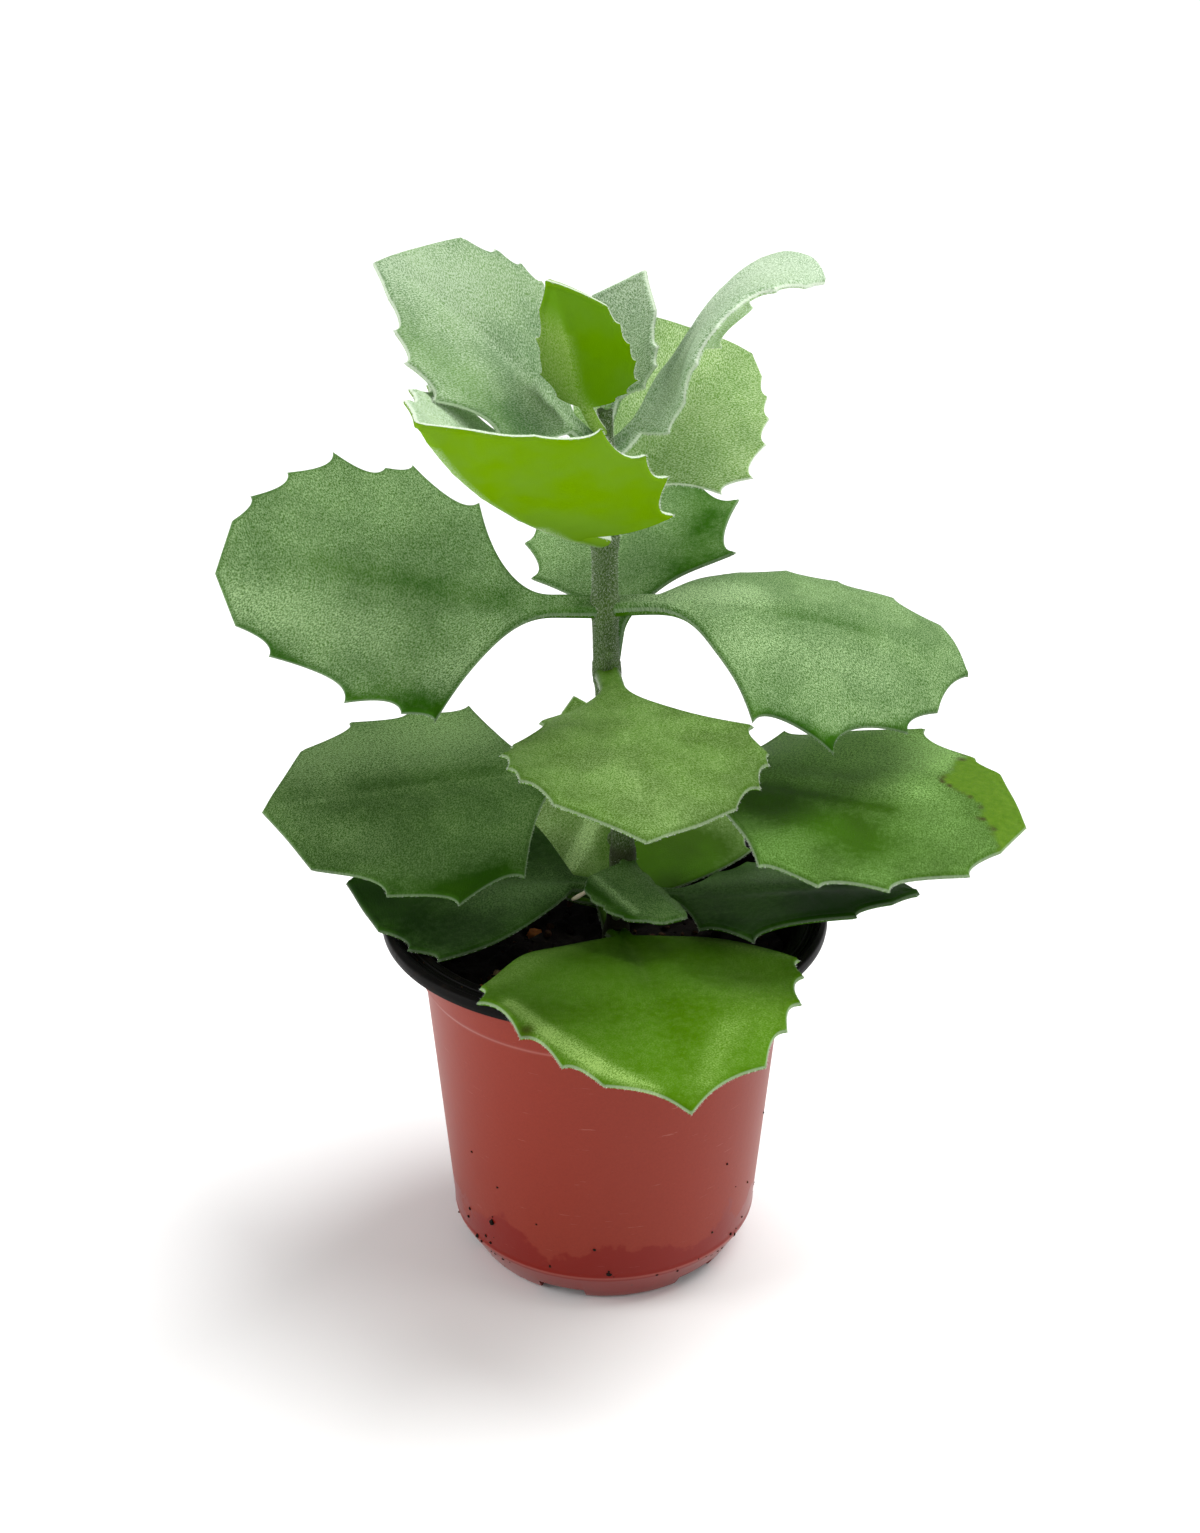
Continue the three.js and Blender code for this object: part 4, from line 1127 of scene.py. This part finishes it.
def build_pot():
    foot, bevel, bevel_top = POT["foot_radius"], POT["bevel_radius"], POT["bevel_top"]
    step, step_height, out = POT["step_radius"], POT["step_height"], POT["step_out"]
    neck, inner, outer, top = POT["neck_radius"], POT["rim_inner"], POT["rim_outer"], POT["rim_top"]
    wall, floor, flange, lip = POT["wall"], POT["floor"], top - 1.4, top - POT["lip_drop"]
    outside = [
        (0, 0), (foot, 0), (bevel - 0.1, bevel_top - 0.4), (bevel + 0.25, bevel_top + 0.5),
        (bevel + 0.15, bevel_top + 1.6), (step, step_height), (step + out, step_height + 1.5),
        (neck, flange - 1.2), (neck + 1.2, flange), (outer - 1.6, flange - 0.3), (outer - 1.1, lip),
        (outer - 0.2, lip), (outer, flange - 0.6), (outer - 0.2, flange + 0.7), (outer - 1.3, top),
    ]
    inside = flange_ridges() + [
        (inner + 0.3, top), (inner - 0.5, top - 0.6), (neck - wall, flange - 1),
        (step + out - wall, step_height + 1.8), (step - wall, step_height + 0.3),
        (bevel - wall, bevel_top + 0.2), (foot - wall * 0.7, floor), (0, floor),
    ]
    lower, upper = rounded(outside, 0.9), rounded(inside, 0.35)
    sides = 192
    points, faces = spun(lower + upper, sides)
    pot = make_piece("nursery_pot", points, faces, [red_plastic(), black_plastic()], "pot", "pot")
    black_from = next(i for i, p in enumerate(lower) if p[0] > outer - 1.3) - 1
    black = np.array([min(face) >= black_from * sides for face in faces])
    pot.data.polygons.foreach_set("material_index", black.astype(np.int32))
    cutter = add_object("slots", new_mesh("slots", *slot_cutters()))
    cut = pot.modifiers.new("slots", "BOOLEAN")
    cut.object, cut.operation, cut.solver = cutter, "DIFFERENCE", "EXACT"
    graph = bpy.context.evaluated_depsgraph_get()
    pot.data = bpy.data.meshes.new_from_object(pot.evaluated_get(graph))
    pot.modifiers.clear()
    bpy.data.objects.remove(cutter)
    pot.data.set_sharp_from_angle(angle=math.radians(40))


# Bits of soil on the wall, half of them in two heaps at these azimuths, and on the rim.
WALL_CRUMBS = dict(count=64, heaps=(-37, -139), spread=11, sizes=(0.18, 0.5), large=1.7, seed=23)
RIM_CRUMBS = dict(count=40, sizes=(0.1, 0.24), sunk=0.55)


def build_pot_crumbs():
    """Bits of soil stuck to the bevel and the wall above it, and lying on the rim."""
    rng = np.random.default_rng(WALL_CRUMBS["seed"])
    parts = []
    for i in range(WALL_CRUMBS["count"]):
        turn = rng.uniform(0, 2 * math.pi)
        if i % 2:
            turn = math.radians(rng.normal(WALL_CRUMBS["heaps"][i // 2 % 2], WALL_CRUMBS["spread"]))
        height = POT["bevel_top"] + rng.exponential(3.0) * (1 if i % 3 else 5) - 1.5
        along = (height - POT["bevel_top"]) / (POT["step_height"] - POT["bevel_top"])
        radius = lerp(POT["bevel_radius"], POT["step_radius"], along)
        if height < POT["bevel_top"]:
            radius = lerp(POT["foot_radius"], POT["bevel_radius"], height / POT["bevel_top"])
        size = rng.uniform(*WALL_CRUMBS["sizes"]) * (WALL_CRUMBS["large"] if i % 11 == 0 else 1)
        spot = (*around(radius, turn), height)
        parts.append(crumb(spot, size, 0.6, i, rng))
    for i in range(RIM_CRUMBS["count"]):
        turn = rng.uniform(0, 2 * math.pi)
        radius = rng.uniform(POT["rim_inner"] + 0.6, POT["rim_outer"] - 1.8)
        size = rng.uniform(*RIM_CRUMBS["sizes"])
        spot = (*around(radius, turn), POT["rim_top"] - RIM_CRUMBS["sunk"])
        parts.append(crumb(spot, size, 0.6, 60 + i, rng))
    make_piece("pot_crumbs", *merged(parts), [crumb_material()], "soil")


# ---- camera, light and floor ----

PHOTO = (1200, 1533)
FOCAL_PIXELS = 2200
CAMERA_AT = (-1.0, -445.0, 326.0)
CAMERA_DOWN = 24.67


def build_camera():
    data = bpy.data.cameras.new("camera")
    data.sensor_fit = "AUTO"
    data.sensor_width = 36
    data.lens = FOCAL_PIXELS * data.sensor_width / max(PHOTO)
    data.clip_start, data.clip_end = 0.01, 50
    camera = add_object("camera", data)
    camera.location = Vector(CAMERA_AT) * MM
    camera.rotation_euler = (math.radians(90 - CAMERA_DOWN), 0, 0)
    bpy.context.scene.camera = camera


def area_light(name, spot, watts):
    data = bpy.data.lights.new(name, "AREA")
    data.shape = "RECTANGLE"
    data.size, data.size_y = BOX_SIZE
    data.energy = watts
    light = add_object(name, data)
    light.location = spot
    light.rotation_euler = (Vector(BOX_TARGET) - Vector(spot)).to_track_quat("-Z", "Y").to_euler()


# The studio: the floor in mm, the lights in metres, watts and degrees.
FLOOR = dict(half=6000, drop=0.2)
SUN = dict(energy=3.1, spread=40, source=(0.42, 0.12, 1.0))
SKY = 0.43
BOXES = (("left_box", (-1.1, -0.25, 0.55), 8), ("right_box", (1.1, -0.35, 0.5), 4))
BOX_SIZE, BOX_TARGET = (0.5, 1.1), (0, 0, 0.12)


def build_stage():
    square = ((-1, -1), (1, -1), (1, 1), (-1, 1))
    corners = [(x * FLOOR["half"], y * FLOOR["half"], -FLOOR["drop"]) for x, y in square]
    floor = add_object("floor", new_mesh("floor", corners, [(0, 1, 2, 3)]))
    shader = Shader("floor_white", 0.9, 0.1)
    floor.data.materials.append(shader.finish(colour("F7F7F7")))
    world = bpy.data.worlds.new("studio")
    world.use_nodes = True
    sky = world.node_tree.nodes["Background"]
    sky.inputs["Color"].default_value = (1, 1, 1, 1)
    sky.inputs["Strength"].default_value = SKY
    bpy.context.scene.world = world
    sun = bpy.data.lights.new("key", "SUN")
    sun.energy, sun.angle = SUN["energy"], math.radians(SUN["spread"])
    key = add_object("key", sun)
    key.rotation_euler = Vector(SUN["source"]).to_track_quat("Z", "Y").to_euler()
    for name, spot, watts in BOXES:
        area_light(name, spot, watts)
    bpy.context.scene.view_settings.view_transform = "Standard"


build_camera()
build_stage()
build_pot()
build_pot_crumbs()
build_soil()
build_grit()
plant_hair = hair_material()
build_stem(plant_hair)
build_leaves(LEAVES, plant_hair)
build_leaves(TIP_LEAVES, plant_hair, "stem")
